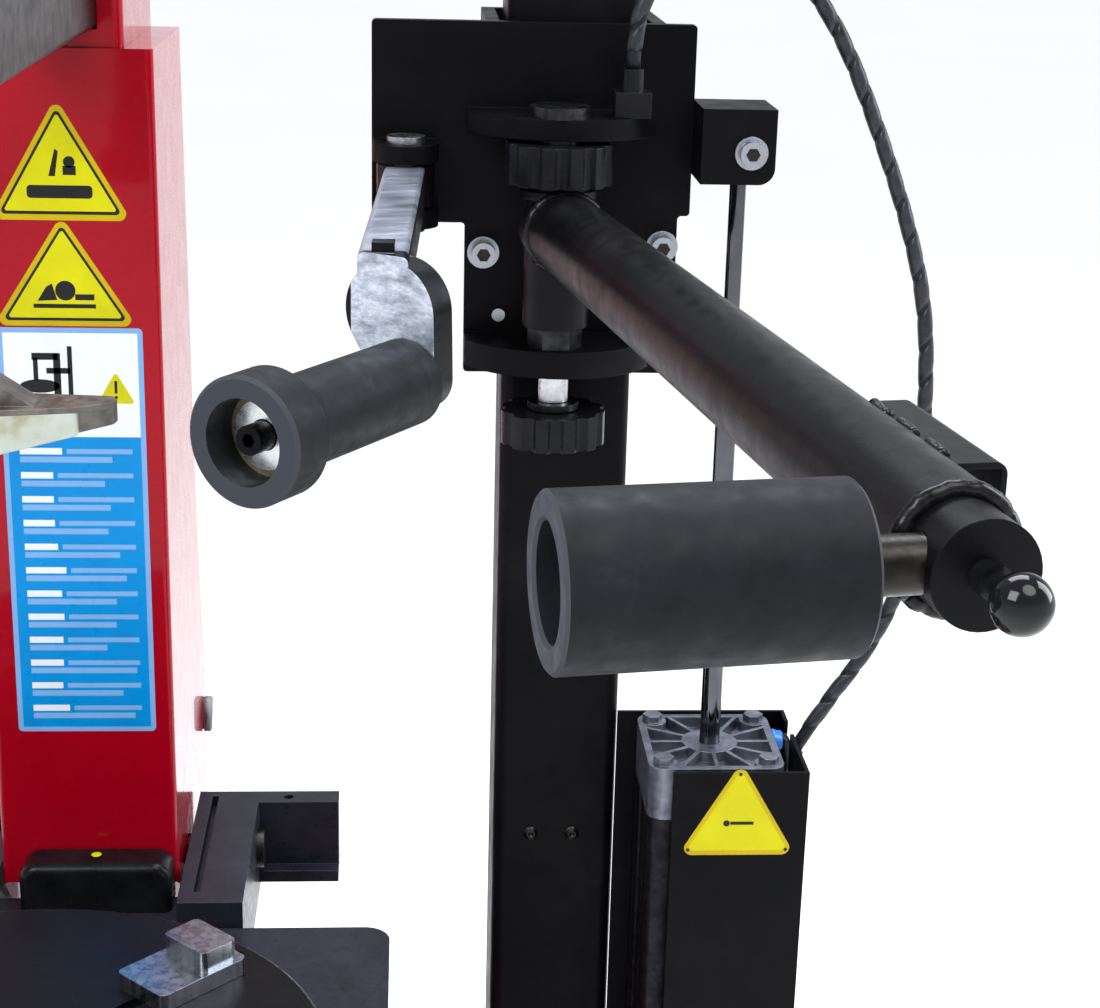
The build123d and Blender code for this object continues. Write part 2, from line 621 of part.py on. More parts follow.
with BuildPart() as wheel_bumper:
    for low in (180, 290, 400):
        block(CAB_HALF_W, CAB_HALF_W + 20, -320, -70, low, low + 40)
    fillet(wheel_bumper.faces().filter_by(Axis.X).group_by(Axis.X)[-1].edges(), 6)
keep(wheel_bumper.part, "wheel_bumper")

# ---------------------------------------------------------------- help-arm post
POST_R = 10.0
POST_WALL = 5.0
with BuildPart() as help_column:
    with BuildSketch(Plane.XY.offset(POST_BOTTOM)):
        with Locations((POST_X, POST_Y)):
            RectangleRounded(2 * POST_HALF, 2 * POST_HALF, POST_R)
            RectangleRounded(2 * (POST_HALF - POST_WALL), 2 * (POST_HALF - POST_WALL),
                             POST_R - POST_WALL, mode=Mode.SUBTRACT)
    extrude(amount=POST_TOP - POST_BOTTOM)
    # two box brackets welded to the post and bolted to the cabinet's side
    for z in (200, 480):
        block(CAB_HALF_W, POST_X - POST_HALF, POST_Y - 40, POST_Y + 40, z, z + 60)
    # plate that carries the lift cylinder
    block(POST_X + POST_HALF - POST_R, 594, CYL_HALF + ROD_Y, 236, 330, 480)
    # welded top plate
    with BuildSketch(Plane.XY.offset(POST_TOP)):
        with Locations((POST_X, POST_Y)):
            RectangleRounded(2 * POST_HALF, 2 * POST_HALF, POST_R)
    extrude(amount=5)
keep(help_column.part, "help_column")

# ---------------------------------------------------------------- lift cylinder
with BuildPart() as lift_cylinder_barrel:
    with BuildSketch(Plane.XY.offset(CYL_BOTTOM)):
        with Locations((ROD_X, ROD_Y)):
            RectangleRounded(2 * CYL_HALF, 2 * CYL_HALF, 6)
            with Locations((0, -CYL_HALF), (0, CYL_HALF), (-CYL_HALF, 0), (CYL_HALF, 0)):
                Circle(7, mode=Mode.SUBTRACT)
            with GridLocations(60, 2 * CYL_HALF, 2, 2):
                Rectangle(5, 10, mode=Mode.SUBTRACT)
            with GridLocations(2 * CYL_HALF, 60, 2, 2):
                Rectangle(10, 5, mode=Mode.SUBTRACT)
    extrude(amount=CYL_TOP - COVER_H - CYL_BOTTOM)
    round_z(CYL_BOTTOM + 15, CYL_TOP, ROD_X, ROD_Y, LIFT_BORE_R, Mode.SUBTRACT)
keep(lift_cylinder_barrel.part, "lift_cylinder_barrel")

BOLT_INSET = 12.0
with BuildPart() as lift_cylinder_cover:
    with BuildSketch(Plane.XY.offset(CYL_TOP - COVER_H)):
        with Locations((ROD_X, ROD_Y)):
            RectangleRounded(2 * CYL_HALF, 2 * CYL_HALF, 12)
    extrude(amount=COVER_H)
    # sunk top face with cast ribs, leaving the rim, the centre boss and four bolt bosses
    with BuildSketch(Plane.XY.offset(CYL_TOP - 9)):
        with Locations((ROD_X, ROD_Y)):
            RectangleRounded(2 * CYL_HALF - 12, 2 * CYL_HALF - 12, 8)
            Circle(22, mode=Mode.SUBTRACT)
            with GridLocations(2 * (CYL_HALF - BOLT_INSET), 2 * (CYL_HALF - BOLT_INSET), 2, 2):
                Circle(11, mode=Mode.SUBTRACT)
            with PolarLocations(0, 12):
                with Locations((30, 0)):
                    Rectangle(60, 3, mode=Mode.SUBTRACT)
    extrude(amount=10, mode=Mode.SUBTRACT)
    # hexagon bolt heads at the corners
    with BuildSketch(Plane.XY.offset(CYL_TOP - 0.5)):
        with Locations((ROD_X, ROD_Y)):
            with GridLocations(2 * (CYL_HALF - BOLT_INSET), 2 * (CYL_HALF - BOLT_INSET), 2, 2):
                RegularPolygon(8, 6)
    extrude(amount=6)
    round_z(CYL_TOP - COVER_H - 5, CYL_TOP + 5, ROD_X, ROD_Y, ROD_R + RUN, Mode.SUBTRACT)
keep(lift_cylinder_cover.part, "lift_cylinder_cover")

GUARD_FRONT = 113.0
GUARD_LEFT = 493.0
GUARD_RIGHT = 598.0
GUARD_TOP = 880.0
with BuildPart() as cylinder_guard:
    block(GUARD_LEFT, GUARD_RIGHT, GUARD_FRONT, GUARD_FRONT + 3, 330, GUARD_TOP)
    block(GUARD_RIGHT - 3, GUARD_RIGHT, GUARD_FRONT, 235, 330, GUARD_TOP)
    # notch that the hose passes through
    block(GUARD_RIGHT - 5, GUARD_RIGHT + 2, 186, 212, 836, GUARD_TOP + 5, Mode.SUBTRACT)
    block(POST_X + POST_HALF, GUARD_RIGHT, 232, 235, 482, GUARD_TOP)
keep(cylinder_guard.part, "cylinder_guard")

HOSE_START = Vector(*HOSE_ROUTE[0])
HOSE_DIR = (Vector(*HOSE_ROUTE[1]) - HOSE_START).normalized()
ELBOW_R = 7.5
ELBOW_LEG = 16.0
ELBOW = HOSE_START - HOSE_DIR * ELBOW_LEG
PORT = Vector(ROD_X + CYL_HALF + 8, ELBOW.Y, CYL_TOP - 10)
with BuildPart() as hose_fitting:
    round_x(ROD_X + CYL_HALF, PORT.X, PORT.Y, PORT.Z, ELBOW_R)
    with Locations(PORT, ELBOW):
        Sphere(ELBOW_R)
    with BuildSketch(Plane(origin=PORT, z_dir=ELBOW - PORT)):
        Circle(ELBOW_R)
    extrude(amount=(ELBOW - PORT).length)
    with BuildSketch(Plane(origin=HOSE_START, z_dir=HOSE_DIR)):
        Circle(ELBOW_R)
    extrude(amount=-ELBOW_LEG)
keep(hose_fitting.part, "hose_fitting")

# ---------------------------------------------------------------- carriage on the post
PLATE_FRONT = 213.0
PLATE_BACK = POST_Y - POST_HALF - PAD_GAP
CAR_LOW = 1169.0
CAR_TOP = 1430.0
SIDE_T = 10.0
SHELF_LOW = 1180.0
SHELF_T = 20.0
TOP_SHELF_LOW = 1353.0
TOP_SHELF_T = 15.0
LUG_LOW = 1322.0


def shelf_outline(plane):
    """Plan outline of a shelf that carries the press arm's pivot pin."""
    with BuildSketch(plane) as outline:
        with BuildLine():
            Polyline((462, PLATE_FRONT), (331, PLATE_FRONT), (331, 190))
            ThreePointArc((331, 190), (352, 165), (PIVOT_X, 147))
            ThreePointArc((PIVOT_X, 147), (442, 158), (469, 190))
            Polyline((469, 190), (462, PLATE_FRONT))
        make_face()
    return outline.sketch


with BuildPart() as carriage_frame:
    with BuildSketch(Plane.XZ.offset(-PLATE_BACK)):
        with BuildLine():
            Polyline((331, CAR_LOW), (490, CAR_LOW), (490, 1290), (499, 1290), (499, CAR_TOP),
                     (262, CAR_TOP), (262, 1283), (331, 1283), close=True)
        make_face()
        fillet(vertices(), 3)
    extrude(amount=PLATE_BACK - PLATE_FRONT)
    # box round the post
    for low in (POST_X - POST_HALF - PAD_GAP - SIDE_T, POST_X + POST_HALF + PAD_GAP):
        block(low, low + SIDE_T, PLATE_BACK, POST_Y + POST_HALF + PAD_GAP + SIDE_T, CAR_LOW, CAR_TOP)
    block(POST_X - POST_HALF - PAD_GAP, POST_X + POST_HALF + PAD_GAP, POST_Y + POST_HALF + PAD_GAP,
          POST_Y + POST_HALF + PAD_GAP + SIDE_T, CAR_LOW, CAR_TOP)
    # shelves for the press arm
    extrude(shelf_outline(Plane.XY.offset(SHELF_LOW)), amount=SHELF_T)
    extrude(shelf_outline(Plane.XY.offset(TOP_SHELF_LOW)), amount=TOP_SHELF_T)
    round_z(SHELF_LOW - 5, TOP_SHELF_LOW + 30, PIVOT_X, PIVOT_Y, PIVOT_R, Mode.SUBTRACT)
    # lugs for the bar arm
    for low in (1285, 1332):
        block(BAR_PIVOT[0] - 24, BAR_PIVOT[0] + 24, BAR_PIVOT[1], PLATE_FRONT, low, low + 13)
        round_z(low, low + 13, BAR_PIVOT[0], BAR_PIVOT[1], 24)
    round_z(1270, 1360, BAR_PIVOT[0], BAR_PIVOT[1], 9, Mode.SUBTRACT)
    # lug that the lift rod pushes
    block(499, 553, ROD_Y - 16, PLATE_BACK, LUG_LOW, 1376)
    fillet(carriage_frame.edges().filter_by(Axis.Y).group_by(Axis.X)[-1].group_by(Axis.Z)[0], 12)
    round_z(LUG_LOW - 5, 1360, ROD_X, ROD_Y, ROD_THIN_R, Mode.SUBTRACT)
keep(carriage_frame.part, "carriage_frame")

PAD_T = PAD_GAP - AIR
with BuildPart() as slide_pads:
    for low in (CAR_LOW + 16, CAR_TOP - 56):
        block(POST_X - 26, POST_X + 26, PLATE_BACK, PLATE_BACK + PAD_T, low, low + 40)
        back = POST_Y + POST_HALF + PAD_GAP
        block(POST_X - 26, POST_X + 26, back - PAD_T, back, low, low + 40)
        left = POST_X - POST_HALF - PAD_GAP
        block(left, left + PAD_T, POST_Y - 28, POST_Y + 28, low, low + 40)
        right = POST_X + POST_HALF + PAD_GAP
        block(right - PAD_T, right, POST_Y - 28, POST_Y + 28, low, low + 40)
keep(slide_pads.part, "slide_pads")

with BuildPart() as carriage_bolts:
    # socket bolts on washers through the front plate
    for x, z in ((345, 1261), (479, 1267)):
        round_y(PLATE_FRONT - 2.5, PLATE_FRONT, x, z, 12)
        round_y(PLATE_FRONT - 13, PLATE_FRONT - 2.5, x, z, 9)
    round_y(PLATE_FRONT - 5, PLATE_FRONT, 357, 1214, 5)
    # cross bolt of the lift rod
    front = ROD_Y - 16
    round_y(front - 2.5, front, 535, 1345, 12)
    round_y(front - 10, front - 2.5, 535, 1345, 9)
    # pin of the bar arm with its two heads
    round_z(1281, 1350, BAR_PIVOT[0], BAR_PIVOT[1], 9)
    round_z(1345, 1350, BAR_PIVOT[0], BAR_PIVOT[1], 14)
    round_z(1281, 1285, BAR_PIVOT[0], BAR_PIVOT[1], 14)
keep(carriage_bolts.part, "carriage_bolts")

THREAD_R = 11.0
with BuildPart() as pivot_pin:
    round_z(SHELF_LOW, TOP_SHELF_LOW + TOP_SHELF_T + 8, PIVOT_X, PIVOT_Y, PIVOT_R)
    # threaded end for the lower knob, with its washer
    round_z(1122, SHELF_LOW, PIVOT_X, PIVOT_Y, THREAD_R)
    round_z(1154, 1159, PIVOT_X, PIVOT_Y, 19)
    round_z(TOP_SHELF_LOW + TOP_SHELF_T, TOP_SHELF_LOW + TOP_SHELF_T + 8, PIVOT_X, PIVOT_Y, 22)
    # hexagon collar on the lower shelf
    with BuildSketch(Plane.XY.offset(SHELF_LOW + SHELF_T)):
        with Locations((PIVOT_X, PIVOT_Y)):
            RegularPolygon(20, 6)
    extrude(amount=16)
keep(pivot_pin.part, "pivot_pin")

THIN_FROM = 1175.0
with BuildPart() as lift_rod:
    round_z(605, THIN_FROM, ROD_X, ROD_Y, ROD_R)
    round_z(THIN_FROM, 1360, ROD_X, ROD_Y, ROD_THIN_R)
    round_z(580, 605, ROD_X, ROD_Y, LIFT_BORE_R - 0.5)
keep(lift_rod.part, "lift_rod")

HOSE_TOP = HOSE_ROUTE[-1]
with BuildPart() as hose_top_fitting:
    with Locations((HOSE_TOP[0], HOSE_TOP[1], TOP_SHELF_LOW + TOP_SHELF_T + 9)):
        Box(26, 26, 18)
    round_z(TOP_SHELF_LOW + TOP_SHELF_T + 18, HOSE_TOP[2], HOSE_TOP[0], HOSE_TOP[1], 8)
keep(hose_top_fitting.part, "hose_top_fitting")

# ---------------------------------------------------------------- air hose
runs = [math.dist(a, b) for a, b in zip(HOSE_ROUTE, HOSE_ROUTE[1:])]
bends = []
for index in range(1, len(HOSE_ROUTE) - 1):
    before = Vector(*HOSE_ROUTE[index]) - Vector(*HOSE_ROUTE[index - 1])
    after = Vector(*HOSE_ROUTE[index + 1]) - Vector(*HOSE_ROUTE[index])
    half_turn = math.radians(before.get_angle(after)) / 2
    bends.append(0.45 * min(runs[index - 1], runs[index]) / math.tan(half_turn))
with BuildPart() as air_hose:
    with BuildLine() as hose_line:
        FilletPolyline(*HOSE_ROUTE, radius=bends)
    with BuildSketch(Plane(origin=hose_line.line @ 0, z_dir=hose_line.line % 0)):
        Circle(HOSE_R)
    sweep(path=hose_line.line)
hose_length = sum(edge.length for edge in hose_line.edges())
print("hose radii", [round(r) for r in bends])
print("hose length", round(hose_length), "volume ratio",
      round(air_hose.part.volume / (math.pi * HOSE_R ** 2 * hose_length), 4))
keep(air_hose.part, "air_hose")

# ---------------------------------------------------------------- press arm
ARM_COS = math.cos(math.radians(ARM_DIR_DEG))
ARM_SIN = math.sin(math.radians(ARM_DIR_DEG))
# x runs along the arm from its pivot, +y points to the arm's right as seen from the pivot's back,
# so the press roller lies on the -y side
PRESS = Plane(origin=(PIVOT_X, PIVOT_Y, ARM_TUBE_Z), x_dir=(ARM_COS, ARM_SIN, 0), z_dir=(0, 0, 1))
ALONG = PRESS.x_dir
TO_RIGHT = PRESS.y_dir


def across_arm(distance, side=0.0):
    """Plane square to the press arm's axis, at a distance from its pivot."""
    return Plane(origin=PRESS.origin + ALONG * distance + TO_RIGHT * side, x_dir=TO_RIGHT, z_dir=ALONG)


HUB_R = 24.0
HUB_LOW = SHELF_LOW + SHELF_T + 16 + AIR
with BuildPart() as press_arm:
    with BuildSketch(across_arm(0)):
        Circle(ARM_TUBE_R)
    extrude(amount=TUBE_END)
    round_z(HUB_LOW, 1319, PIVOT_X, PIVOT_Y, HUB_R)
    round_z(1311, 1317, PIVOT_X, PIVOT_Y, HUB_R + 4)
    with BuildSketch(across_arm(TUBE_END - 60)):
        Circle(SLEEVE_R)
    extrude(amount=SLEEVE_END - TUBE_END + 60)
    with BuildSketch(across_arm(HUB_R)):
        Circle(SLEEVE_R - 4)
    extrude(amount=SLEEVE_END - 5 - HUB_R, mode=Mode.SUBTRACT)
    # small channel welded along the right-hand side, near the end
    with BuildSketch(across_arm(581)):
        with BuildLine():
            Polyline((16, 22), (36, 22))
            TangentArc((36, 22), (42, 16), tangent=(1, 0))
            Polyline((42, 16), (42, -12), (39, -12), (39, 19), (16, 19), (16, 22))
        make_face()
    extrude(amount=104)
    round_z(HUB_LOW - 5, 1330, PIVOT_X, PIVOT_Y, PIVOT_R + RUN, Mode.SUBTRACT)
    # cross hole for the roller's shaft, and the hole for the knob's stem
    with BuildSketch(Plane(origin=PRESS.origin + ALONG * ROLLER_SHAFT_AT + TO_RIGHT * -30, z_dir=TO_RIGHT)):
        Circle(ROLLER_SHAFT_R)
    extrude(amount=30, mode=Mode.SUBTRACT)
keep(press_arm.part, "press_arm")

TO_LEFT = TO_RIGHT * -1


def across_roller(distance):
    """Plane square to the press roller's axis, at a distance to the left of the arm."""
    return Plane(origin=PRESS.origin + ALONG * ROLLER_SHAFT_AT + TO_LEFT * distance, x_dir=ALONG, z_dir=TO_LEFT)


with BuildPart() as roller_shaft:
    with BuildSketch(across_roller(-10)):
        Circle(ROLLER_SHAFT_R)
    extrude(amount=ROLLER_START + 60 + 10)
    # washer and bolt head that keep the roller on
    with BuildSketch(across_roller(ROLLER_START + 60)):
        Circle(17)
    extrude(amount=3)
    with BuildSketch(across_roller(ROLLER_START + 63)):
        RegularPolygon(10, 6)
    extrude(amount=8)
keep(roller_shaft.part, "roller_shaft")

with BuildPart() as press_roller:
    with BuildSketch(across_roller(ROLLER_START)):
        Circle(ROLLER_R)
        Circle(ROLLER_BORE_R, mode=Mode.SUBTRACT)
    extrude(amount=ROLLER_END - ROLLER_START)
    chamfer(press_roller.edges().filter_by(GeomType.CIRCLE), 1.5)
keep(press_roller.part, "press_roller")

with BuildPart() as roller_hub:
    with BuildSketch(across_roller(ROLLER_START + 1.5)):
        Circle(ROLLER_BORE_R)
        Circle(ROLLER_SHAFT_R + RUN, mode=Mode.SUBTRACT)
    extrude(amount=58.2)
keep(roller_hub.part, "roller_hub")

with BuildPart() as ball_knob:
    with BuildSketch(across_arm(SLEEVE_END)):
        Circle(5)
    extrude(amount=KNOB_AT - SLEEVE_END)
    with BuildSketch(across_arm(SLEEVE_END)):
        Circle(7.5)
    extrude(amount=9)
    with Locations(PRESS.origin + ALONG * KNOB_AT):
        Sphere(KNOB_R)
keep(ball_knob.part, "ball_knob")

# ---------------------------------------------------------------- bar arm and tulip roller
TULIP = Vector(TULIP_FRONT[0] - TULIP_BACK[0], TULIP_FRONT[1] - TULIP_BACK[1], 0)
TULIP_LEN = TULIP.length
TULIP_DIR = TULIP.normalized()
TULIP_SIDE = Vector(-TULIP_DIR.Y, TULIP_DIR.X, 0)
TULIP_ORIGIN = Vector(TULIP_BACK[0], TULIP_BACK[1], TULIP_Z)
PLATE_GAP = 1.5
LINK_T = 20.0


def across_tulip(distance):
    """Plane square to the tulip roller's axis: x to the side, y up, counted from its back end."""
    return Plane(origin=TULIP_ORIGIN + TULIP_DIR * distance, x_dir=TULIP_SIDE, z_dir=TULIP_DIR)


BAR = Plane(origin=(BAR_PIVOT[0], BAR_PIVOT[1], BAR_TOP - BAR_SIZE / 2),
            x_dir=(BAR_END[0] - BAR_PIVOT[0], BAR_END[1] - BAR_PIVOT[1], 0), z_dir=(0, 0, 1))
BAR_LEN = math.dist(BAR_PIVOT, BAR_END)
with BuildPart() as bar_arm:
    with BuildSketch(BAR.offset(-BAR_SIZE / 2)):
        with Locations((BAR_LEN / 2, 0)):
            Rectangle(BAR_LEN, BAR_SIZE)
        Circle(21)
    extrude(amount=BAR_SIZE)
    fillet(bar_arm.edges().filter_by(lambda e: abs((e % 0.5).Z) < 0.01 and e.length > 200), 4)
    # pear-shaped link plate across the bar's end
    with BuildSketch(across_tulip(-PLATE_GAP - LINK_T)):
        with BuildLine() as lobes:
            CenterArc((-12, 39), 30, 0, 360)
            CenterArc((0, 0), 19, 0, 360)
        make_hull(lobes.edges())
    extrude(amount=LINK_T)
    # nothing of the bar stands in front of the link plate
    with BuildSketch(across_tulip(-PLATE_GAP)):
        Rectangle(200, 300)
    extrude(amount=100, mode=Mode.SUBTRACT)
    round_z(BAR_TOP - BAR_SIZE - 5, BAR_TOP + 5, BAR_PIVOT[0], BAR_PIVOT[1], 9 + RUN, Mode.SUBTRACT)
    with BuildSketch(across_tulip(-PLATE_GAP - LINK_T - 5)):
        Circle(STUD_R)
    extrude(amount=LINK_T + 10, mode=Mode.SUBTRACT)
    # square-headed set screw
    with BuildSketch(BAR.offset(BAR_SIZE / 2 - 1)):
        with Locations((BAR_LEN - 24, 0)):
            Rectangle(13, 13)
    extrude(amount=7)
keep(bar_arm.part, "bar_arm")

RECESS = 21.0
BEARING_W = 12.0
with BuildPart() as tulip_stud:
    with BuildSketch(across_tulip(-PLATE_GAP - LINK_T)):
        Circle(STUD_R)
    extrude(amount=LINK_T + PLATE_GAP + TULIP_LEN - 5)
    # zinc washer in the recess
    with BuildSketch(across_tulip(TULIP_LEN - RECESS)):
        Circle(19)
    extrude(amount=2.5)
    with BuildSketch(across_tulip(TULIP_LEN - 14)):
        RegularPolygon(4, 6)
    extrude(amount=12, mode=Mode.SUBTRACT)
keep(tulip_stud.part, "tulip_stud")

with BuildPart() as tulip_roller:
    with BuildSketch(Plane(origin=TULIP_ORIGIN, x_dir=TULIP_SIDE * -1, z_dir=(0, 0, 1))):
        with BuildLine():
            # +y of this sketch runs along the roller's axis, from its back to its flange
            Polyline((TULIP_RECESS_R, 0), (TULIP_BODY_R, 0), (TULIP_BODY_R, TULIP_LEN - 40),
                     (TULIP_FLANGE_R, TULIP_LEN - 27), (TULIP_FLANGE_R, TULIP_LEN - 2),
                     (TULIP_FLANGE_R - 2, TULIP_LEN), (TULIP_RECESS_R, TULIP_LEN),
                     (TULIP_RECESS_R, TULIP_LEN - RECESS - 1 - BEARING_W),
                     (15, TULIP_LEN - RECESS - 1 - BEARING_W), (15, BEARING_W + 1),
                     (TULIP_RECESS_R, BEARING_W + 1), close=True)
        make_face()
    revolve(axis=Axis(TULIP_ORIGIN, TULIP_DIR))
keep(tulip_roller.part, "tulip_roller")

with BuildPart() as tulip_bearings:
    for start in (1, TULIP_LEN - RECESS - 1 - BEARING_W):
        with BuildSketch(across_tulip(start)):
            Circle(TULIP_RECESS_R)
            Circle(STUD_R + RUN, mode=Mode.SUBTRACT)
        extrude(amount=BEARING_W)
keep(tulip_bearings.part, "tulip_bearings")

# ---------------------------------------------------------------- star knobs on the pivot pin
STAR_R = 39.0
STAR_LOBES = 12


def star_knob(z_low, z_high, bore_r):
    """Fluted hand knob around the pivot pin."""
    with BuildPart() as knob:
        with BuildSketch(Plane.XY.offset(z_low)):
            with Locations((PIVOT_X, PIVOT_Y)):
                Circle(STAR_R)
                with PolarLocations(STAR_R + 3, STAR_LOBES):
                    Circle(6.5, mode=Mode.SUBTRACT)
                Circle(bore_r + RUN, mode=Mode.SUBTRACT)
        extrude(amount=z_high - z_low)
    return knob.part


keep(star_knob(1321, 1350, PIVOT_R), "upper_knob")
keep(star_knob(1128, 1153, THREAD_R), "lower_knob")
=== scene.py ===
"""Look of a tilting-column tire changer and its help arm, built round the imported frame."""
import json
import math
import random

import bmesh
import bpy
from mathutils import Matrix, Vector


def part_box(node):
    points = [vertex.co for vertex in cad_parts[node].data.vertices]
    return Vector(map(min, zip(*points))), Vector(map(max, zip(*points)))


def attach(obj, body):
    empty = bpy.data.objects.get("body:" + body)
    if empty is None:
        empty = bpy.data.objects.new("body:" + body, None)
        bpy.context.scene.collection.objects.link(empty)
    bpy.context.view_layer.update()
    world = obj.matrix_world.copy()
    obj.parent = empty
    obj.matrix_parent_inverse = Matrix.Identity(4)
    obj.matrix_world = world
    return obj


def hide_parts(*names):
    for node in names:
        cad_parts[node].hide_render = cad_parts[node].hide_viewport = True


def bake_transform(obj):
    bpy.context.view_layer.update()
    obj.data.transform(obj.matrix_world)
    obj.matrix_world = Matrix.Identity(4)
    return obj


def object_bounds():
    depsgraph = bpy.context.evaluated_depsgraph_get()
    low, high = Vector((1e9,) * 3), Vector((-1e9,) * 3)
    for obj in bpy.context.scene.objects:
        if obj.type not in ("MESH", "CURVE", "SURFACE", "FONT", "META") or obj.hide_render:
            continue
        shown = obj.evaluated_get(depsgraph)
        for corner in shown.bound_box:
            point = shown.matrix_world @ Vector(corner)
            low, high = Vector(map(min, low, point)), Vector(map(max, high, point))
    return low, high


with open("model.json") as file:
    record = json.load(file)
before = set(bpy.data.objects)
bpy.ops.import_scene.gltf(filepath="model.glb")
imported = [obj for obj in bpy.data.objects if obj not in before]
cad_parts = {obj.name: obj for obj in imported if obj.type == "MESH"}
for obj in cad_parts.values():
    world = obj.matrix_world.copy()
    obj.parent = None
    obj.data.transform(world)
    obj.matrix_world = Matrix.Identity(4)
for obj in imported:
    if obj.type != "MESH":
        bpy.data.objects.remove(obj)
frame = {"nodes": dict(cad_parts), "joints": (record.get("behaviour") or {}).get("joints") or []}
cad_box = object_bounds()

random.seed(7)
nodes = frame["nodes"]
joints = {joint["name"]: joint for joint in frame["joints"]}
MM = 0.001


# ---------------------------------------------------------------- material kit
class Look:
    """One Principled material, with short calls for procedural detail in metres."""

    def __init__(self, name, colour, roughness, metallic=0.0, **sockets):
        self.material = bpy.data.materials.new(name)
        self.material.use_nodes = True
        self.material.diffuse_color = (*colour, 1.0)
        self.tree = self.material.node_tree
        self.shader = self.tree.nodes["Principled BSDF"]
        self.set("Base Color", (*colour, 1.0))
        self.set("Roughness", roughness)
        self.set("Metallic", metallic)
        for socket_shade, value in sockets.items():
            self.set(socket_shade.replace("_", " "), value)
        self.place = self.tree.nodes.new("ShaderNodeTexCoord")
        self.last_normal = None

    def set(self, socket_shade, value):
        self.shader.inputs[socket_shade].default_value = value

    def link(self, source, target):
        self.tree.links.new(source, target)

    def to(self, socket_shade, source):
        self.link(source, self.shader.inputs[socket_shade])

    def noise(self, scale, detail=3.0, stretch=(1, 1, 1), turn=0.0, roughness=0.55):
        """Noise with features about 1/scale metres across; stretch below 1 lengthens them along that axis."""
        mapping = self.tree.nodes.new("ShaderNodeMapping")
        mapping.vector_type = "TEXTURE"
        mapping.inputs["Rotation"].default_value = (0, 0, turn)
        mapping.inputs["Scale"].default_value = [1 / part for part in stretch]
        self.link(self.place.outputs["Object"], mapping.inputs["Vector"])
        texture = self.tree.nodes.new("ShaderNodeTexNoise")
        texture.inputs["Scale"].default_value = scale
        texture.inputs["Detail"].default_value = detail
        texture.inputs["Roughness"].default_value = roughness
        self.link(mapping.outputs["Vector"], texture.inputs["Vector"])
        return texture.outputs["Fac"]

    def cells(self, scale):
        texture = self.tree.nodes.new("ShaderNodeTexVoronoi")
        texture.inputs["Scale"].default_value = scale
        self.link(self.place.outputs["Object"], texture.inputs["Vector"])
        return texture.outputs["Distance"]

    def ramp(self, factor, *stops):
        """Colours blended by a factor; each stop is (position, colour)."""
        ramp = self.tree.nodes.new("ShaderNodeValToRGB")
        elements = ramp.color_ramp.elements
        for element, (position, colour) in zip(elements, stops):
            element.position, element.color = position, (*colour, 1.0)
        for position, colour in stops[2:]:
            elements.new(position).color = (*colour, 1.0)
        self.link(factor, ramp.inputs["Fac"])
        return ramp.outputs["Color"]

    def span(self, factor, low, high, from_low=0.3, from_high=0.7):
        """The factor's middle stretch, turned into the range from low to high."""
        node = self.tree.nodes.new("ShaderNodeMapRange")
        ends = {"From Min": from_low, "From Max": from_high, "To Min": low, "To Max": high}
        for socket_shade, value in ends.items():
            node.inputs[socket_shade].default_value = value
        self.link(factor, node.inputs["Value"])
        return node.outputs["Result"]

    def math(self, operation, first, second=None):
        node = self.tree.nodes.new("ShaderNodeMath")
        node.operation = operation
        for socket_shade, value in zip(node.inputs, (first, second)):
            if isinstance(value, (int, float)):
                socket_shade.default_value = value
            elif value is not None:
                self.link(value, socket_shade)
        return node.outputs["Value"]

    def vector(self, operation, first, second=None):
        node = self.tree.nodes.new("ShaderNodeVectorMath")
        node.operation = operation
        self.link(first, node.inputs[0])
        if second is not None:
            node.inputs[1].default_value = second
        return node.outputs["Value" if operation in ("LENGTH", "DOT_PRODUCT") else "Vector"]

    def facing(self, direction):
        """How far the surface faces a direction of the object's own frame, from -1 to 1."""
        return self.vector("DOT_PRODUCT", self.place.outputs["Normal"], direction)

    def off_axis(self, origin, direction):
        """Distance from an axis, in metres."""
        arm = self.vector("SUBTRACT", self.place.outputs["Object"], origin)
        return self.vector("LENGTH", self.vector("CROSS_PRODUCT", arm, direction))

    def along(self, origin, direction):
        """Distance along an axis, in metres."""
        arm = self.vector("SUBTRACT", self.place.outputs["Object"], origin)
        return self.vector("DOT_PRODUCT", arm, direction)

    def mix(self, factor, first, second):
        node = self.tree.nodes.new("ShaderNodeMix")
        node.data_type = "RGBA"
        self.link(factor, node.inputs["Factor"])
        for socket_shade, value in ((node.inputs[6], first), (node.inputs[7], second)):
            if isinstance(value, tuple):
                socket_shade.default_value = (*value, 1.0)
            else:
                self.link(value, socket_shade)
        return node.outputs[2]

    def soft_edges(self, radius):
        """Rounds the light on sharp edges, as folded and ground steel does."""
        node = self.tree.nodes.new("ShaderNodeBevel")
        node.samples = 4
        node.inputs["Radius"].default_value = radius
        self.last_normal = node.outputs["Normal"]
        self.to("Normal", self.last_normal)

    def bump(self, height, distance, strength=1.0):
        node = self.tree.nodes.new("ShaderNodeBump")
        node.inputs["Distance"].default_value = distance
        node.inputs["Strength"].default_value = strength
        self.link(height, node.inputs["Height"])
        if self.last_normal is not None:
            self.link(self.last_normal, node.inputs["Normal"])
        self.last_normal = node.outputs["Normal"]
        self.to("Normal", self.last_normal)

    def clouds(self, scale, detail, *stops):
        """Base colour that wanders between tones with noise; each stop is (position, colour)."""
        self.to("Base Color", self.ramp(self.noise(scale, detail), *stops))

    def polish(self, scale, detail, low, high):
        """Roughness that wanders between two values with noise."""
        self.to("Roughness", self.span(self.noise(scale, detail), low, high))

    def grain(self, scale, detail, distance, strength):
        """Relief from noise, so many metres deep."""
        self.bump(self.noise(scale, detail), distance, strength)


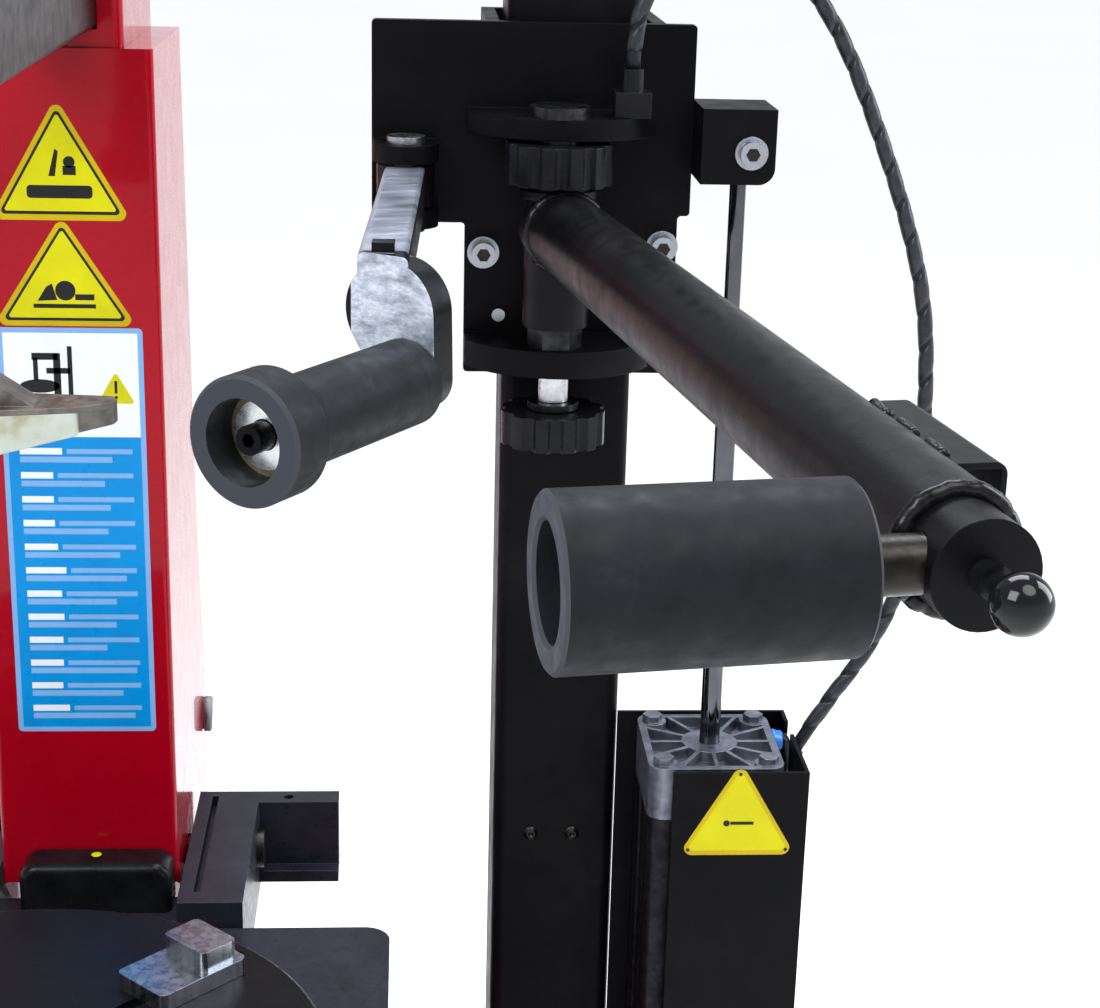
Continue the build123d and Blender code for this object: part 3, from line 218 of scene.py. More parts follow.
# ---------------------------------------------------------------- materials
def sand_black(name, gloss, sheen):
    """Black powder coat with a fine sand texture and a few rubbed, dusty places."""
    look = Look(name, (0.006, 0.006, 0.007), gloss, Specular_IOR_Level=sheen)
    look.soft_edges(1.2 * MM)
    look.clouds(14, 5.0, (0.35, (0.002, 0.002, 0.003)), (0.62, (0.004, 0.0035, 0.0045)),
                (0.85, (0.011, 0.010, 0.011)))
    look.polish(60, 4.0, gloss - 0.07, gloss + 0.08)
    look.grain(950, 4.0, 0.22 * MM, 0.55)
    look.grain(90, 2.0, 0.25 * MM, 0.25)
    return look.material


def frame_black():
    """Smoother satin black of the rear frame and the base; its lavender tint is a painted reflection."""
    look = Look("frame_black", (0.015, 0.015, 0.020), 0.30, Specular_IOR_Level=0.4)
    look.soft_edges(1.5 * MM)
    # lavender-tinted tones: painted reflection
    look.clouds(22, 5.0, (0.3, (0.008, 0.009, 0.016)), (0.75, (0.020, 0.021, 0.034)))
    look.polish(120, 4.0, 0.24, 0.42)
    look.grain(500, 3.0, 0.15 * MM, 0.35)
    return look.material


def red_gloss():
    """Glossy red powder coat with a slight orange peel."""
    look = Look("red_gloss", (0.29, 0.0, 0.008), 0.28, Specular_IOR_Level=0.1,
                Coat_Weight=0.9, Coat_Roughness=0.05, Coat_IOR=1.25)
    look.soft_edges(2.0 * MM)
    look.clouds(6, 3.0, (0.25, (0.31, 0.0, 0.007)), (0.75, (0.39, 0.0, 0.011)))
    look.polish(40, 4.0, 0.20, 0.34)
    look.grain(120, 1.0, 0.04 * MM, 0.08)
    return look.material


def brushed_zinc():
    look = Look("brushed_zinc", (0.62, 0.64, 0.68), 0.28, 1.0)
    look.soft_edges(0.4 * MM)
    streaks = look.noise(160, 4.0, stretch=(1, 1, 0.15))
    look.to("Base Color", look.ramp(streaks, (0.3, (0.34, 0.36, 0.39)), (0.7, (0.44, 0.46, 0.50))))
    look.to("Roughness", look.span(streaks, 0.20, 0.38))
    look.grain(700, 2.0, 0.05 * MM, 0.3)
    return look.material


def pivot_steel(shelf_z):
    """Blackened pin with a bright zinc collar under the carriage's lower shelf."""
    look = Look("pivot_steel", (0.5, 0.5, 0.5), 0.30, 0.9)
    height = look.along((0, 0, 0), (0, 0, 1))
    dark = look.ramp(look.noise(90, 4.0), (0.3, (0.014, 0.014, 0.016)), (0.8, (0.06, 0.06, 0.065)))
    bright = look.ramp(look.noise(200, 4.0), (0.3, (0.55, 0.56, 0.58)), (0.7, (0.80, 0.81, 0.83)))
    collar_length = 20.5 * MM
    collar = look.math("MULTIPLY", look.math("LESS_THAN", height, shelf_z),
                       look.math("GREATER_THAN", height, shelf_z - collar_length))
    look.to("Base Color", look.mix(collar, dark, bright))
    look.polish(150, 4.0, 0.22, 0.40)
    look.grain(800, 2.0, 0.05 * MM, 0.4)
    return look.material


def hard_chrome():
    """Ground and chromed rod: fine lines round it and a trace of oil."""
    look = Look("hard_chrome", (0.70, 0.71, 0.74), 0.10, 1.0)
    look.polish(45, 4.0, 0.06, 0.20)
    look.clouds(25, 3.0, (0.3, (0.09, 0.09, 0.10)), (0.7, (0.15, 0.15, 0.17)))
    look.bump(look.noise(900, 1.0, stretch=(0.05, 0.05, 1)), 0.02 * MM, 0.4)
    return look.material


def aluminium(name, dark, light):
    """Cast or extruded aluminium, clouded between two tones."""
    look = Look(name, dark, 0.46, 1.0)
    look.soft_edges(0.8 * MM)
    look.clouds(80, 5.0, (0.3, dark), (0.72, light))
    look.polish(220, 3.0, 0.36, 0.58)
    look.grain(600, 3.0, 0.18 * MM, 0.5)
    return look.material


def cast_steel():
    """Brown-grey cast steel of the mount head and the gearbox."""
    look = Look("cast_steel", (0.15, 0.135, 0.12), 0.42, 0.85)
    look.soft_edges(1.2 * MM)
    look.clouds(70, 5.0, (0.3, (0.09, 0.08, 0.07)), (0.7, (0.22, 0.20, 0.18)))
    look.polish(240, 4.0, 0.32, 0.55)
    look.grain(420, 4.0, 0.25 * MM, 0.5)
    return look.material


def black_oxide():
    """Blackened machined steel, brown-grey where it is handled."""
    look = Look("black_oxide", (0.055, 0.052, 0.045), 0.34, 0.9)
    look.soft_edges(0.5 * MM)
    look.clouds(60, 5.0, (0.3, (0.020, 0.019, 0.016)), (0.75, (0.045, 0.042, 0.036)))
    look.polish(300, 3.0, 0.26, 0.46)
    look.grain(1100, 2.0, 0.04 * MM, 0.4)
    return look.material


def roller_rubber(name, origin, direction):
    """Charcoal rubber with turning lines and scuffs; a thin pale rim on its corners and lighter, cooler end
    faces are painted highlight.
    """
    look = Look(name, (0.012, 0.013, 0.015), 0.55, Specular_IOR_Level=0.14)
    travel = look.along(origin, direction)
    lines = look.tree.nodes.new("ShaderNodeTexNoise")
    lines.noise_dimensions = "1D"
    lines.inputs["Scale"].default_value = 650
    lines.inputs["Detail"].default_value = 3
    look.link(travel, lines.inputs["W"])
    scuffs = look.noise(34, 6.0, roughness=0.7)
    base = look.ramp(scuffs, (0.34, (0.008, 0.009, 0.011)), (0.60, (0.013, 0.014, 0.017)),
                     (0.80, (0.030, 0.031, 0.035)))
    slant = look.math("ABSOLUTE", look.facing(direction))
    # painted highlight: the rounded corners and the end faces get lighter, cooler colours than the tread
    corner = look.math("MULTIPLY", look.math("GREATER_THAN", slant, 0.55), look.math("LESS_THAN", slant, 0.9))
    painted_end_highlight = look.math("GREATER_THAN", slant, 0.9)
    sides = look.mix(corner, base, (0.048, 0.050, 0.057))
    look.to("Base Color", look.mix(painted_end_highlight, sides, (0.036, 0.039, 0.049)))
    look.polish(90, 4.0, 0.44, 0.66)
    look.bump(lines.outputs["Fac"], 0.10 * MM, 0.35)
    look.grain(420, 4.0, 0.12 * MM, 0.35)
    return look.material


def worn_and_lit_bar(plate_line, plate_direction, screw):
    """Square bar and link plate: scuff streaks on the plate face and the bar's top, which are also painted
    lighter as lit faces; the sides and the plate's edge are painted near-black as painted shade; black set
    screw.
    """
    look = Look("worn_and_lit_bar", (0.4, 0.4, 0.45), 0.34, 0.85)
    look.soft_edges(0.8 * MM)
    drag = look.noise(55, 6.0, stretch=(0.25, 1, 1.6), turn=0.3, roughness=0.74)
    scuffed_and_lit = look.ramp(drag, (0.36, (0.24, 0.26, 0.31)), (0.50, (0.52, 0.56, 0.64)),
                        (0.64, (0.88, 0.92, 0.98)))
    clouds = look.noise(30, 5.0, stretch=(1, 0.3, 1))
    painted_lit_top = look.ramp(clouds, (0.34, (0.26, 0.28, 0.34)), (0.66, (0.50, 0.53, 0.62)))
    # painted shade: near-black for the bar's sides and the plate's edge
    dark = look.ramp(look.noise(90, 4.0), (0.3, (0.005, 0.005, 0.007)), (0.8, (0.020, 0.020, 0.025)))
    on_plate = look.math("LESS_THAN", look.along((0, 0, 0), (0, 1, 0)), plate_line)
    # painted light: the plate face and the bar's top, picked by the way they face, get lighter colours; the
    # streaks over the plate face are scuffs
    lit_plate_face = look.math("MULTIPLY", on_plate, look.math("GREATER_THAN", look.facing(plate_direction), 0.6))
    lit_bar_top = look.math("SUBTRACT", look.math("GREATER_THAN", look.facing((0, 0, 1)), 0.55), on_plate)
    screw_reach, screw_rise = 10.0 * MM, 0.3 * MM
    screw_head = look.math("MULTIPLY", look.math("LESS_THAN", look.off_axis(screw, (0, 0, 1)), screw_reach),
                           look.math("GREATER_THAN", look.along(screw, (0, 0, 1)), screw_rise))
    worn_and_lit_colour = look.mix(lit_plate_face, look.mix(lit_bar_top, dark, painted_lit_top), scuffed_and_lit)
    look.to("Base Color", look.mix(screw_head, worn_and_lit_colour, (0.010, 0.010, 0.012)))
    look.to("Roughness", look.span(drag, 0.26, 0.50))
    look.bump(drag, 0.5 * MM, 0.45)
    return look.material


def stud_steel(origin, direction):
    """Bright zinc washer; inside its ring the hollow stud is painted near-black, as painted shade."""
    look = Look("stud_steel", (0.6, 0.6, 0.6), 0.25, 1.0)
    reach = look.off_axis(origin, direction)
    rings = look.tree.nodes.new("ShaderNodeTexNoise")
    rings.noise_dimensions = "1D"
    rings.inputs["Scale"].default_value = 1500
    look.link(reach, rings.inputs["W"])
    zinc = look.ramp(rings.outputs["Fac"], (0.3, (0.82, 0.86, 0.87)), (0.7, (0.92, 0.95, 0.96)))
    stud_radius = 8.6 * MM
    on_washer = look.math("GREATER_THAN", reach, stud_radius)
    # painted shade: near-black inside the washer's ring, over the hollow stud
    look.to("Base Color", look.mix(on_washer, (0.010, 0.010, 0.011), zinc))
    look.polish(150, 4.0, 0.20, 0.36)
    look.bump(rings.outputs["Fac"], 0.03 * MM, 0.15)
    return look.material


def bearing_rim():
    look = Look("bearing_rim", (0.5, 0.42, 0.22), 0.35, 0.9)
    look.clouds(300, 3.0, (0.3, (0.42, 0.34, 0.15)), (0.7, (0.62, 0.55, 0.34)))
    look.polish(420, 3.0, 0.26, 0.46)
    return look.material


def plain_rubber():
    look = Look("plain_rubber", (0.014, 0.014, 0.015), 0.62, Specular_IOR_Level=0.35)
    look.clouds(40, 5.0, (0.3, (0.010, 0.010, 0.011)), (0.8, (0.034, 0.033, 0.033)))
    look.polish(160, 3.0, 0.52, 0.74)
    look.grain(350, 3.0, 0.2 * MM, 0.4)
    return look.material


def moulded_black():
    look = Look("moulded_black", (0.009, 0.009, 0.010), 0.28, Specular_IOR_Level=0.18)
    look.soft_edges(1.0 * MM)
    look.polish(70, 4.0, 0.20, 0.34)
    look.clouds(30, 4.0, (0.3, (0.003, 0.003, 0.004)), (0.8, (0.010, 0.010, 0.012)))
    look.bump(look.cells(1400), 0.08 * MM, 0.35)
    return look.material


def phenolic_ball():
    look = Look("phenolic_ball", (0.004, 0.004, 0.005), 0.10, Specular_IOR_Level=0.35)
    look.polish(110, 5.0, 0.05, 0.16)
    look.clouds(60, 3.0, (0.3, (0.003, 0.003, 0.004)), (0.8, (0.009, 0.009, 0.010)))
    return look.material


def white_nylon():
    """Milky nylon, stained yellow where tyres rub it."""
    look = Look("white_nylon", (0.72, 0.74, 0.70), 0.42, Subsurface_Weight=0.15, Subsurface_Scale=0.004)
    look.soft_edges(1.0 * MM)
    look.clouds(45, 5.0, (0.35, (0.50, 0.55, 0.50)), (0.55, (0.44, 0.47, 0.39)), (0.75, (0.30, 0.27, 0.14)))
    look.grain(260, 3.0, 0.15 * MM, 0.4)
    return look.material


def hose_skin():
    look = Look("hose_skin", (0.008, 0.009, 0.011), 0.40, Specular_IOR_Level=0.2)
    look.clouds(80, 4.0, (0.3, (0.005, 0.006, 0.008)), (0.75, (0.016, 0.018, 0.023)))
    look.polish(200, 3.0, 0.34, 0.52)
    look.grain(900, 2.0, 0.05 * MM, 0.3)
    return look.material


def wrap_plastic():
    look = Look("wrap_plastic", (0.014, 0.015, 0.018), 0.34, Specular_IOR_Level=0.3)
    look.clouds(120, 4.0, (0.3, (0.008, 0.009, 0.012)), (0.75, (0.036, 0.039, 0.048)))
    look.polish(260, 3.0, 0.26, 0.44)
    return look.material


def tinted_plastic(name, colour, roughness=0.35):
    """Small moulded piece in one colour family, with slight clouding and grain."""
    look = Look(name, colour, roughness)
    light = tuple(min(1.0, part * 1.18 + 0.004) for part in colour)
    dark = tuple(part * 0.82 for part in colour)
    look.clouds(90, 4.0, (0.3, dark), (0.7, light))
    look.polish(200, 3.0, roughness - 0.07, roughness + 0.1)
    look.grain(900, 2.0, 0.04 * MM, 0.3)
    return look.material


def label_film(name, colour, spread=0.10):
    """Printed vinyl film: satin, a little uneven in tone, with a faint ripple."""
    look = Look(name, colour, 0.30, Specular_IOR_Level=0.2)
    light = tuple(min(1.0, part * (1 + spread)) for part in colour)
    dark = tuple(part * (1 - spread) for part in colour)
    look.clouds(18, 4.0, (0.3, dark), (0.7, light))
    look.polish(60, 3.0, 0.24, 0.40)
    look.grain(35, 2.0, 0.10 * MM, 0.25)
    return look.material


def weld_metal():
    look = Look("weld_metal", (0.008, 0.008, 0.008), 0.26, Specular_IOR_Level=0.25)
    look.clouds(160, 4.0, (0.3, (0.004, 0.004, 0.005)), (0.75, (0.014, 0.013, 0.013)))
    look.polish(260, 3.0, 0.16, 0.36)
    look.grain(420, 3.0, 0.3 * MM, 0.5)
    return look.material


def drive_rubber():
    look = Look("drive_rubber", (0.016, 0.016, 0.017), 0.68)
    look.clouds(220, 3.0, (0.3, (0.011, 0.011, 0.012)), (0.8, (0.030, 0.030, 0.031)))
    look.grain(800, 2.0, 0.1 * MM, 0.5)
    return look.material


# ---------------------------------------------------------------- mesh kit
def finish_piece(name, mesh_maker, material, body, smooth=True):
    """Turns a filled bmesh into a piece that rides on a body."""
    mesh = bpy.data.meshes.new(name)
    bmesh.ops.recalc_face_normals(mesh_maker, faces=mesh_maker.faces)
    mesh_maker.to_mesh(mesh)
    mesh_maker.free()
    piece = bpy.data.objects.new(name, mesh)
    bpy.context.scene.collection.objects.link(piece)
    for face in mesh.polygons:
        face.use_smooth = smooth
    mesh.materials.append(material)
    if body is not None:
        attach(piece, body)
    return piece


def add_block(maker, low, high, bevel=0.0, turn=None):
    """Adds one box, with rounded edges if a bevel is given, to a bmesh."""
    low, high = Vector(low), Vector(high)
    made = bmesh.ops.create_cube(maker, size=1.0)["verts"]
    centre, size = (low + high) / 2, high - low
    matrix = Matrix.Translation(centre) @ (turn or Matrix.Identity(4)) @ Matrix.Diagonal((*size, 1.0))
    bmesh.ops.transform(maker, matrix=matrix, verts=made)
    if bevel:
        edges = list({edge for vert in made for edge in vert.link_edges})
        bmesh.ops.bevel(maker, geom=edges, offset=bevel, segments=3, profile=0.6, affect="EDGES")


def add_lathe(maker, profile, origin, direction, steps=40):
    """Adds a turned shape: profile is a list of (radius, distance along the axis)."""
    origin, direction = Vector(origin), Vector(direction).normalized()
    side = direction.orthogonal().normalized()
    across = direction.cross(side)
    rings = []
    for radius, distance in profile:
        centre = origin + direction * distance
        if radius < 1e-6:
            rings.append([maker.verts.new(centre)])
            continue
        angles = [2 * math.pi * step / steps for step in range(steps)]
        rings.append([maker.verts.new(centre + side * radius * math.cos(a) + across * radius * math.sin(a))
                      for a in angles])
    for ring, following in zip(rings, rings[1:]):
        for step in range(steps):
            ahead = (step + 1) % steps
            corners = [ring[step % len(ring)], ring[ahead % len(ring)],
                       following[ahead % len(following)], following[step % len(following)]]
            unique = list(dict.fromkeys(corners))
            if len(unique) > 2:
                maker.faces.new(unique)
    for ring in (rings[0], rings[-1]):
        if len(ring) > 2:
            maker.faces.new(ring)


def path_frames(points):
    """Direction, side and up at each point of a path, turning as little as possible."""
    directions = []
    for index in range(len(points)):
        before, after = points[max(index - 1, 0)], points[min(index + 1, len(points) - 1)]
        directions.append((after - before).normalized())
    side = directions[0].orthogonal().normalized()
    frames = []
    for direction in directions:
        side = (side - direction * side.dot(direction)).normalized()
        frames.append((direction, side, direction.cross(side)))
    return frames


def add_tube(maker, points, radius, sides=14, uneven=0.0):
    """Adds a closed tube along a path; uneven roughens it like a weld bead."""
    rings = []
    for point, (_, side, up) in zip(points, path_frames(points)):
        swell = 1 + uneven * (random.random() - 0.5) + uneven * 0.5 * math.sin(len(rings) * 1.1)
        rings.append([maker.verts.new(point + (side * math.cos(a) + up * math.sin(a)) * radius * swell)
                      for a in (2 * math.pi * step / sides for step in range(sides))])
    for ring, following in zip(rings, rings[1:]):
        for step in range(sides):
            ahead = (step + 1) % sides
            maker.faces.new((ring[step], ring[ahead], following[ahead], following[step]))
    maker.faces.new(rings[0])
    maker.faces.new(rings[-1])


def rounded_polygon(corners, radius, steps=6):
    """The corners of a flat outline, each replaced by a short arc."""
    outline = []
    for index, corner in enumerate(corners):
        corner = Vector(corner)
        before = (Vector(corners[index - 1]) - corner).normalized()
        after = (Vector(corners[(index + 1) % len(corners)]) - corner).normalized()
        half = before.angle(after) / 2
        centre = corner + (before + after).normalized() * radius / math.sin(half)
        start, end = corner + before * radius / math.tan(half), corner + after * radius / math.tan(half)
        first, last = start - centre, end - centre
        for step in range(steps + 1):
            spoke = first.lerp(last, step / steps)
            outline.append(centre + spoke.normalized() * radius)
    return outline


def disc(centre, radius, steps=20, squash=1.0):
    """The outline of a round mark, flattened if squash is below 1."""
    angles = [2 * math.pi * step / steps for step in range(steps)]
    return [Vector((centre[0] + radius * math.cos(a), centre[1] + squash * radius * math.sin(a)))
            for a in angles]


def add_flat(maker, outline, place, low, high):
    """Adds a flat outline as a thin plate between two heights over the surface that place stands on."""
    bottom = [maker.verts.new(place(point[0], point[1], low)) for point in outline]
    top = [maker.verts.new(place(point[0], point[1], high)) for point in outline]
    maker.faces.new(bottom)
    maker.faces.new(top)
    for index in range(len(outline)):
        ahead = (index + 1) % len(outline)
        maker.faces.new((bottom[index], bottom[ahead], top[ahead], top[index]))


def add_flats(name, outlines, place, low, high, material, body):
    """One piece of several thin plates that share their heights and their look."""
    maker = bmesh.new()
    for outline in outlines:
        add_flat(maker, outline, place, low, high)
    return finish_piece(name, maker, material, body, smooth=False)


def bar_outline(left, right, low, high):
    return [Vector((left, low)), Vector((right, low)), Vector((right, high)), Vector((left, high))]


def add_bolt(maker, place, direction, radius, height):
    """Adds a low domed screw head with a washer."""
    profile = [(radius * 1.45, 0), (radius * 1.45, height * 0.22), (radius, height * 0.24),
               (radius, height * 0.75), (radius * 0.86, height), (radius * 0.42, height),
               (radius * 0.42, height * 0.5), (0, height * 0.5)]
    add_lathe(maker, profile, place, direction, 24)


# ---------------------------------------------------------------- places taken from the frame
def joint_axis(name):
    """A joint's pivot and its unit axis."""
    return Vector(joints[name]["pos_m"]), Vector(joints[name]["axis"]).normalized()


column_low, column_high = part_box("tilt_column")
cabinet_low, cabinet_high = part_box("cabinet_shell")
post_low, post_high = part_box("help_column")
_, cover_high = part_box("lift_cylinder_cover")
spring_low, spring_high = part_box("shaft_spring")
arm_pivot, _ = joint_axis("press_arm_swing")
roller_centre, roller_axis = joint_axis("press_roller_spin")
tulip_centre, tulip_axis = joint_axis("tulip_spin")
# unit directions of the press arm in plan: out along it, and to its right
arm_right = -roller_axis
arm_out = Vector((arm_right.y, -arm_right.x, 0))

# places on the machine, in metres
COLUMN_FACE = column_low.y
POST_FRONT = 0.229
POST_CENTRE = (0.411, 0.279)
GUARD_FRONT = 0.113
GUARD_LABEL_X = 0.5445
SHELF_UNDERSIDE = 1.180   # of the carriage's lower shelf
TUBE_Z = 1.289            # height of the press arm's tube
TUBE_END = 0.729          # from the press arm's pivot to the end of its wide tube
SLEEVE_R = 0.0235
SET_SCREW = (0.2753, -0.1480, 1.330)
PLATE_BACK = tulip_centre.y + 0.022   # where the link plate goes over into the square bar
FILM = 0.10 * MM          # thickness of a label's film
PANEL_SKIN = 0.0025
RIB_PITCH, RIB_HALF = 0.010, 0.030    # ribs of a pedal's rubber pad

SAND_BLACK = sand_black("sand_black", 0.34, 0.15)
DULL_BLACK = sand_black("dull_black", 0.42, 0.08)
FRAME_BLACK = frame_black()
RED = red_gloss()
ZINC = brushed_zinc()
CHROME = hard_chrome()
ALUMINIUM = aluminium("cast_aluminium", (0.15, 0.16, 0.19), (0.30, 0.32, 0.37))
DARK_ALUMINIUM = aluminium("dark_aluminium", (0.012, 0.012, 0.015), (0.032, 0.032, 0.039))
CAST_STEEL = cast_steel()
BLACK_OXIDE = black_oxide()
RUBBER = plain_rubber()
PLASTIC = moulded_black()
BALL = phenolic_ball()
NYLON = white_nylon()
BELT = drive_rubber()
PIVOT = pivot_steel(SHELF_UNDERSIDE)
PRESS_RUBBER = roller_rubber("press_roller_rubber", tuple(roller_centre), tuple(roller_axis))
TULIP_RUBBER = roller_rubber("tulip_roller_rubber", tuple(tulip_centre), tuple(tulip_axis))
BAR = worn_and_lit_bar(PLATE_BACK, tuple(tulip_axis), SET_SCREW)
STUD = stud_steel(tuple(tulip_centre), tuple(tulip_axis))
BEARING = bearing_rim()
HOSE = hose_skin()
WRAP = wrap_plastic()
WELD = weld_metal()
GREY_PLASTIC = tinted_plastic("grey_plastic", (0.22, 0.22, 0.25))
BLUE_PLASTIC = tinted_plastic("blue_plastic", (0.02, 0.17, 0.62), 0.30)
YELLOW_FILM = label_film("yellow_film", (0.60, 0.56, 0.0))
AMBER_FILM = label_film("amber_film", (0.52, 0.38, 0.0))
BLACK_FILM = label_film("black_film", (0.012, 0.012, 0.012))
WHITE_FILM = label_film("white_film", (0.80, 0.81, 0.84), 0.04)
BLUE_FILM = label_film("blue_film", (0.0, 0.25, 0.62), 0.08)
PALE_FILM = label_film("pale_film", (0.20, 0.40, 0.70), 0.06)

LOOKS = {
    SAND_BLACK: ("press_arm", "horizontal_arm", "breaker_arm", "breaker_shovel", "breaker_cylinder",
                 "turntable_disc", "pedal_1", "pedal_2", "pedal_3"),
    DULL_BLACK: ("help_column", "cylinder_guard", "carriage_frame", "motor"),
    FRAME_BLACK: ("rear_frame", "base_frame", "breaker_bracket", "deck_plate"),
    RED: ("tilt_column", "column_head", "cabinet_shell"),
    ZINC: ("carriage_bolts", "jaw_1", "jaw_2", "jaw_3", "jaw_4", "turntable_spindle",
           "worm_shaft", "roller_hub"),
    PIVOT: ("pivot_pin",),
    CHROME: ("lift_rod", "tilt_rod", "breaker_rod", "hex_shaft"),
    ALUMINIUM: ("lift_cylinder_cover", "tilt_cylinder", "jaw_cylinders"),
    DARK_ALUMINIUM: ("lift_cylinder_barrel",),
    CAST_STEEL: ("mount_head", "gearbox_housing", "motor_pulley"),
    BLACK_OXIDE: ("tilt_hinge_pin", "roller_shaft"),
    RUBBER: ("wheel_bumper",),
    PLASTIC: ("upper_knob", "lower_knob", "lock_handle", "column_foot_cover", "hose_fitting",
              "hose_top_fitting"),
    BALL: ("ball_knob",),
    NYLON: ("head_insert", "slide_pads"),
    BELT: ("drive_belt",),
    PRESS_RUBBER: ("press_roller",),
    TULIP_RUBBER: ("tulip_roller",),
    BAR: ("bar_arm",),
    STUD: ("tulip_stud",),
    BEARING: ("tulip_bearings",),
}
for look, names in LOOKS.items():
    for name in names:
        nodes[name].data.materials.clear()
        nodes[name].data.materials.append(look)


# ---------------------------------------------------------------- air hose in its spiral wrap
# the CAD tube's own route, from the lift cylinder up to the carriage
HOSE_ROUTE = [
    (0.603, 0.200, 0.862), (0.628, 0.204, 0.903), (0.657, 0.206, 0.943), (0.681, 0.205, 1.000),
    (0.688, 0.203, 1.075), (0.687, 0.201, 1.150), (0.681, 0.200, 1.225), (0.661, 0.200, 1.293),
    (0.633, 0.199, 1.362), (0.602, 0.197, 1.428), (0.566, 0.192, 1.474), (0.536, 0.188, 1.490),
    (0.499, 0.183, 1.489), (0.467, 0.179, 1.470), (0.449, 0.176, 1.438), (0.449, 0.176, 1.402),
]
HOSE_R = 0.0052
WRAP_R = 0.0060
WRAP_PITCH = 0.028
WRAP_COVER = 0.86         # share of each turn that the wrap's band covers


def smooth_route(points, steps):
    """Points along the NURBS line that has the route's points as its controls."""
    curve = bpy.data.curves.new("route", "CURVE")
    curve.dimensions = "3D"
    spline = curve.splines.new("NURBS")
    spline.points.add(len(points) - 1)
    for target, point in zip(spline.points, points):
        target.co = (*point, 1.0)
    spline.order_u = 3
    spline.use_endpoint_u = True
    spline.resolution_u = steps
    holder = bpy.data.objects.new("route", curve)
    bpy.context.scene.collection.objects.link(holder)
    bpy.context.view_layer.update()
    mesh = bpy.data.meshes.new_from_object(holder)
    line = [vertex.co.copy() for vertex in mesh.vertices]
    bpy.data.objects.remove(holder)
    bpy.data.curves.remove(curve)
    bpy.data.meshes.remove(mesh)
    return line


def add_wrap(maker, line, inner, outer, pitch, cover):
    """Adds a flat band wound along a line."""
    frames = path_frames(line)
    travelled, rows = 0.0, []
    for index, point in enumerate(line):
        if index:
            travelled += (point - line[index - 1]).length
        rows.append((travelled, point, frames[index]))
    total = rows[-1][0]
    turns = total / pitch
    steps = int(turns * 22)

    def on_line(distance):
        distance = min(max(distance, 0.0), total)
        for (low, first, frame_low), (high, second, frame_high) in zip(rows, rows[1:]):
            if distance <= high:
                share = (distance - low) / (high - low)
                return first.lerp(second, share), frame_low[1].lerp(frame_high[1], share), \
                    frame_low[2].lerp(frame_high[2], share)
        return rows[-1][1], rows[-1][2][1], rows[-1][2][2]

    across = 5
    strips = []
    for step in range(steps + 1):
        middle = total * step / steps
        angle = 2 * math.pi * middle / pitch
        strip = []
        for radius in (inner, outer):
            for part in range(across):
                distance = middle + (part / (across - 1) - 0.5) * pitch * cover
                centre, side, up = on_line(distance)
                edge = radius if 0 < part < across - 1 else (radius + inner) / 2
                strip.append(maker.verts.new(centre + (side * math.cos(angle) + up * math.sin(angle)) * edge))
        strips.append(strip)
    for strip, following in zip(strips, strips[1:]):
        for part in range(across - 1):
            for low in (0, across):
                maker.faces.new((strip[low + part], strip[low + part + 1],
                                 following[low + part + 1], following[low + part]))
        for edge in (0, across - 1):
            maker.faces.new((strip[edge], strip[across + edge], following[across + edge], following[edge]))


hose_line = smooth_route(HOSE_ROUTE, 10)
hose_maker = bmesh.new()
add_tube(hose_maker, hose_line, HOSE_R, 16)
hose = finish_piece("air_hose_tube", hose_maker, HOSE, None)
wrap_maker = bmesh.new()
add_wrap(wrap_maker, hose_line[2:-2], HOSE_R - 0.0001, WRAP_R, WRAP_PITCH, WRAP_COVER)
hose_wrap = finish_piece("hose_wrap", wrap_maker, WRAP, None)
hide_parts("air_hose")
for piece in (hose, hose_wrap):
    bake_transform(piece)


# ---------------------------------------------------------------- return spring of the hexagonal shaft
def make_spring():
    """The CAD spring's own coil, as one fixed piece."""
    wire = 0.0025
    radius = (spring_high.x - spring_low.x) / 2 - wire
    centre = (spring_low + spring_high) / 2
    bottom, top = spring_low.z + wire, spring_high.z - wire
    turns, steps = 19, 24
    line = []
    for step in range(turns * steps + 1):
        share = step / (turns * steps)
        # the end coils lie closed
        rise = min(1.0, max(0.0, (share - 0.04) / 0.92))
        angle = 2 * math.pi * step / steps
        line.append(Vector((centre.x + radius * math.cos(angle), centre.y + radius * math.sin(angle),
                            bottom + (top - bottom) * rise)))
    maker = bmesh.new()
    add_tube(maker, line, wire, 8)
    spring = finish_piece("shaft_spring_coil", maker, ZINC, None)
    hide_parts("shaft_spring")
    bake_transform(spring)


make_spring()


# ---------------------------------------------------------------- labels
def on_front(face_y, centre_x=0.0):
    """Label coordinates on a face that looks to -Y: across, up and outward."""
    return lambda across, up, out: Vector((centre_x + across, face_y - out, up))


def warning_triangle(name, place, apex, base, half_width, body, symbol, line_film):
    """Yellow triangle in an amber rim with a thin line and a plain symbol."""
    apex_at = Vector((0.0, apex))
    middle = Vector((0.0, base + (apex - base) * 0.38))

    def shrunk(share):
        corners = [Vector((-half_width, base)), Vector((half_width, base)), apex_at]
        return [middle + (corner - middle) * share for corner in corners]

    layers = (("rim", 1.0, AMBER_FILM, 6), ("line", 0.87, line_film, 3), ("field", 0.80, YELLOW_FILM, 1.6))
    for level, (part, share, film, round_mm) in enumerate(layers):
        add_flats(f"{name}_{part}", [rounded_polygon(shrunk(share), round_mm * MM)], place,
                  level * FILM, (level + 1.5) * FILM, film, body)
    add_flats(f"{name}_symbol", symbol, place, 3 * FILM, 4.5 * FILM, BLACK_FILM, body)


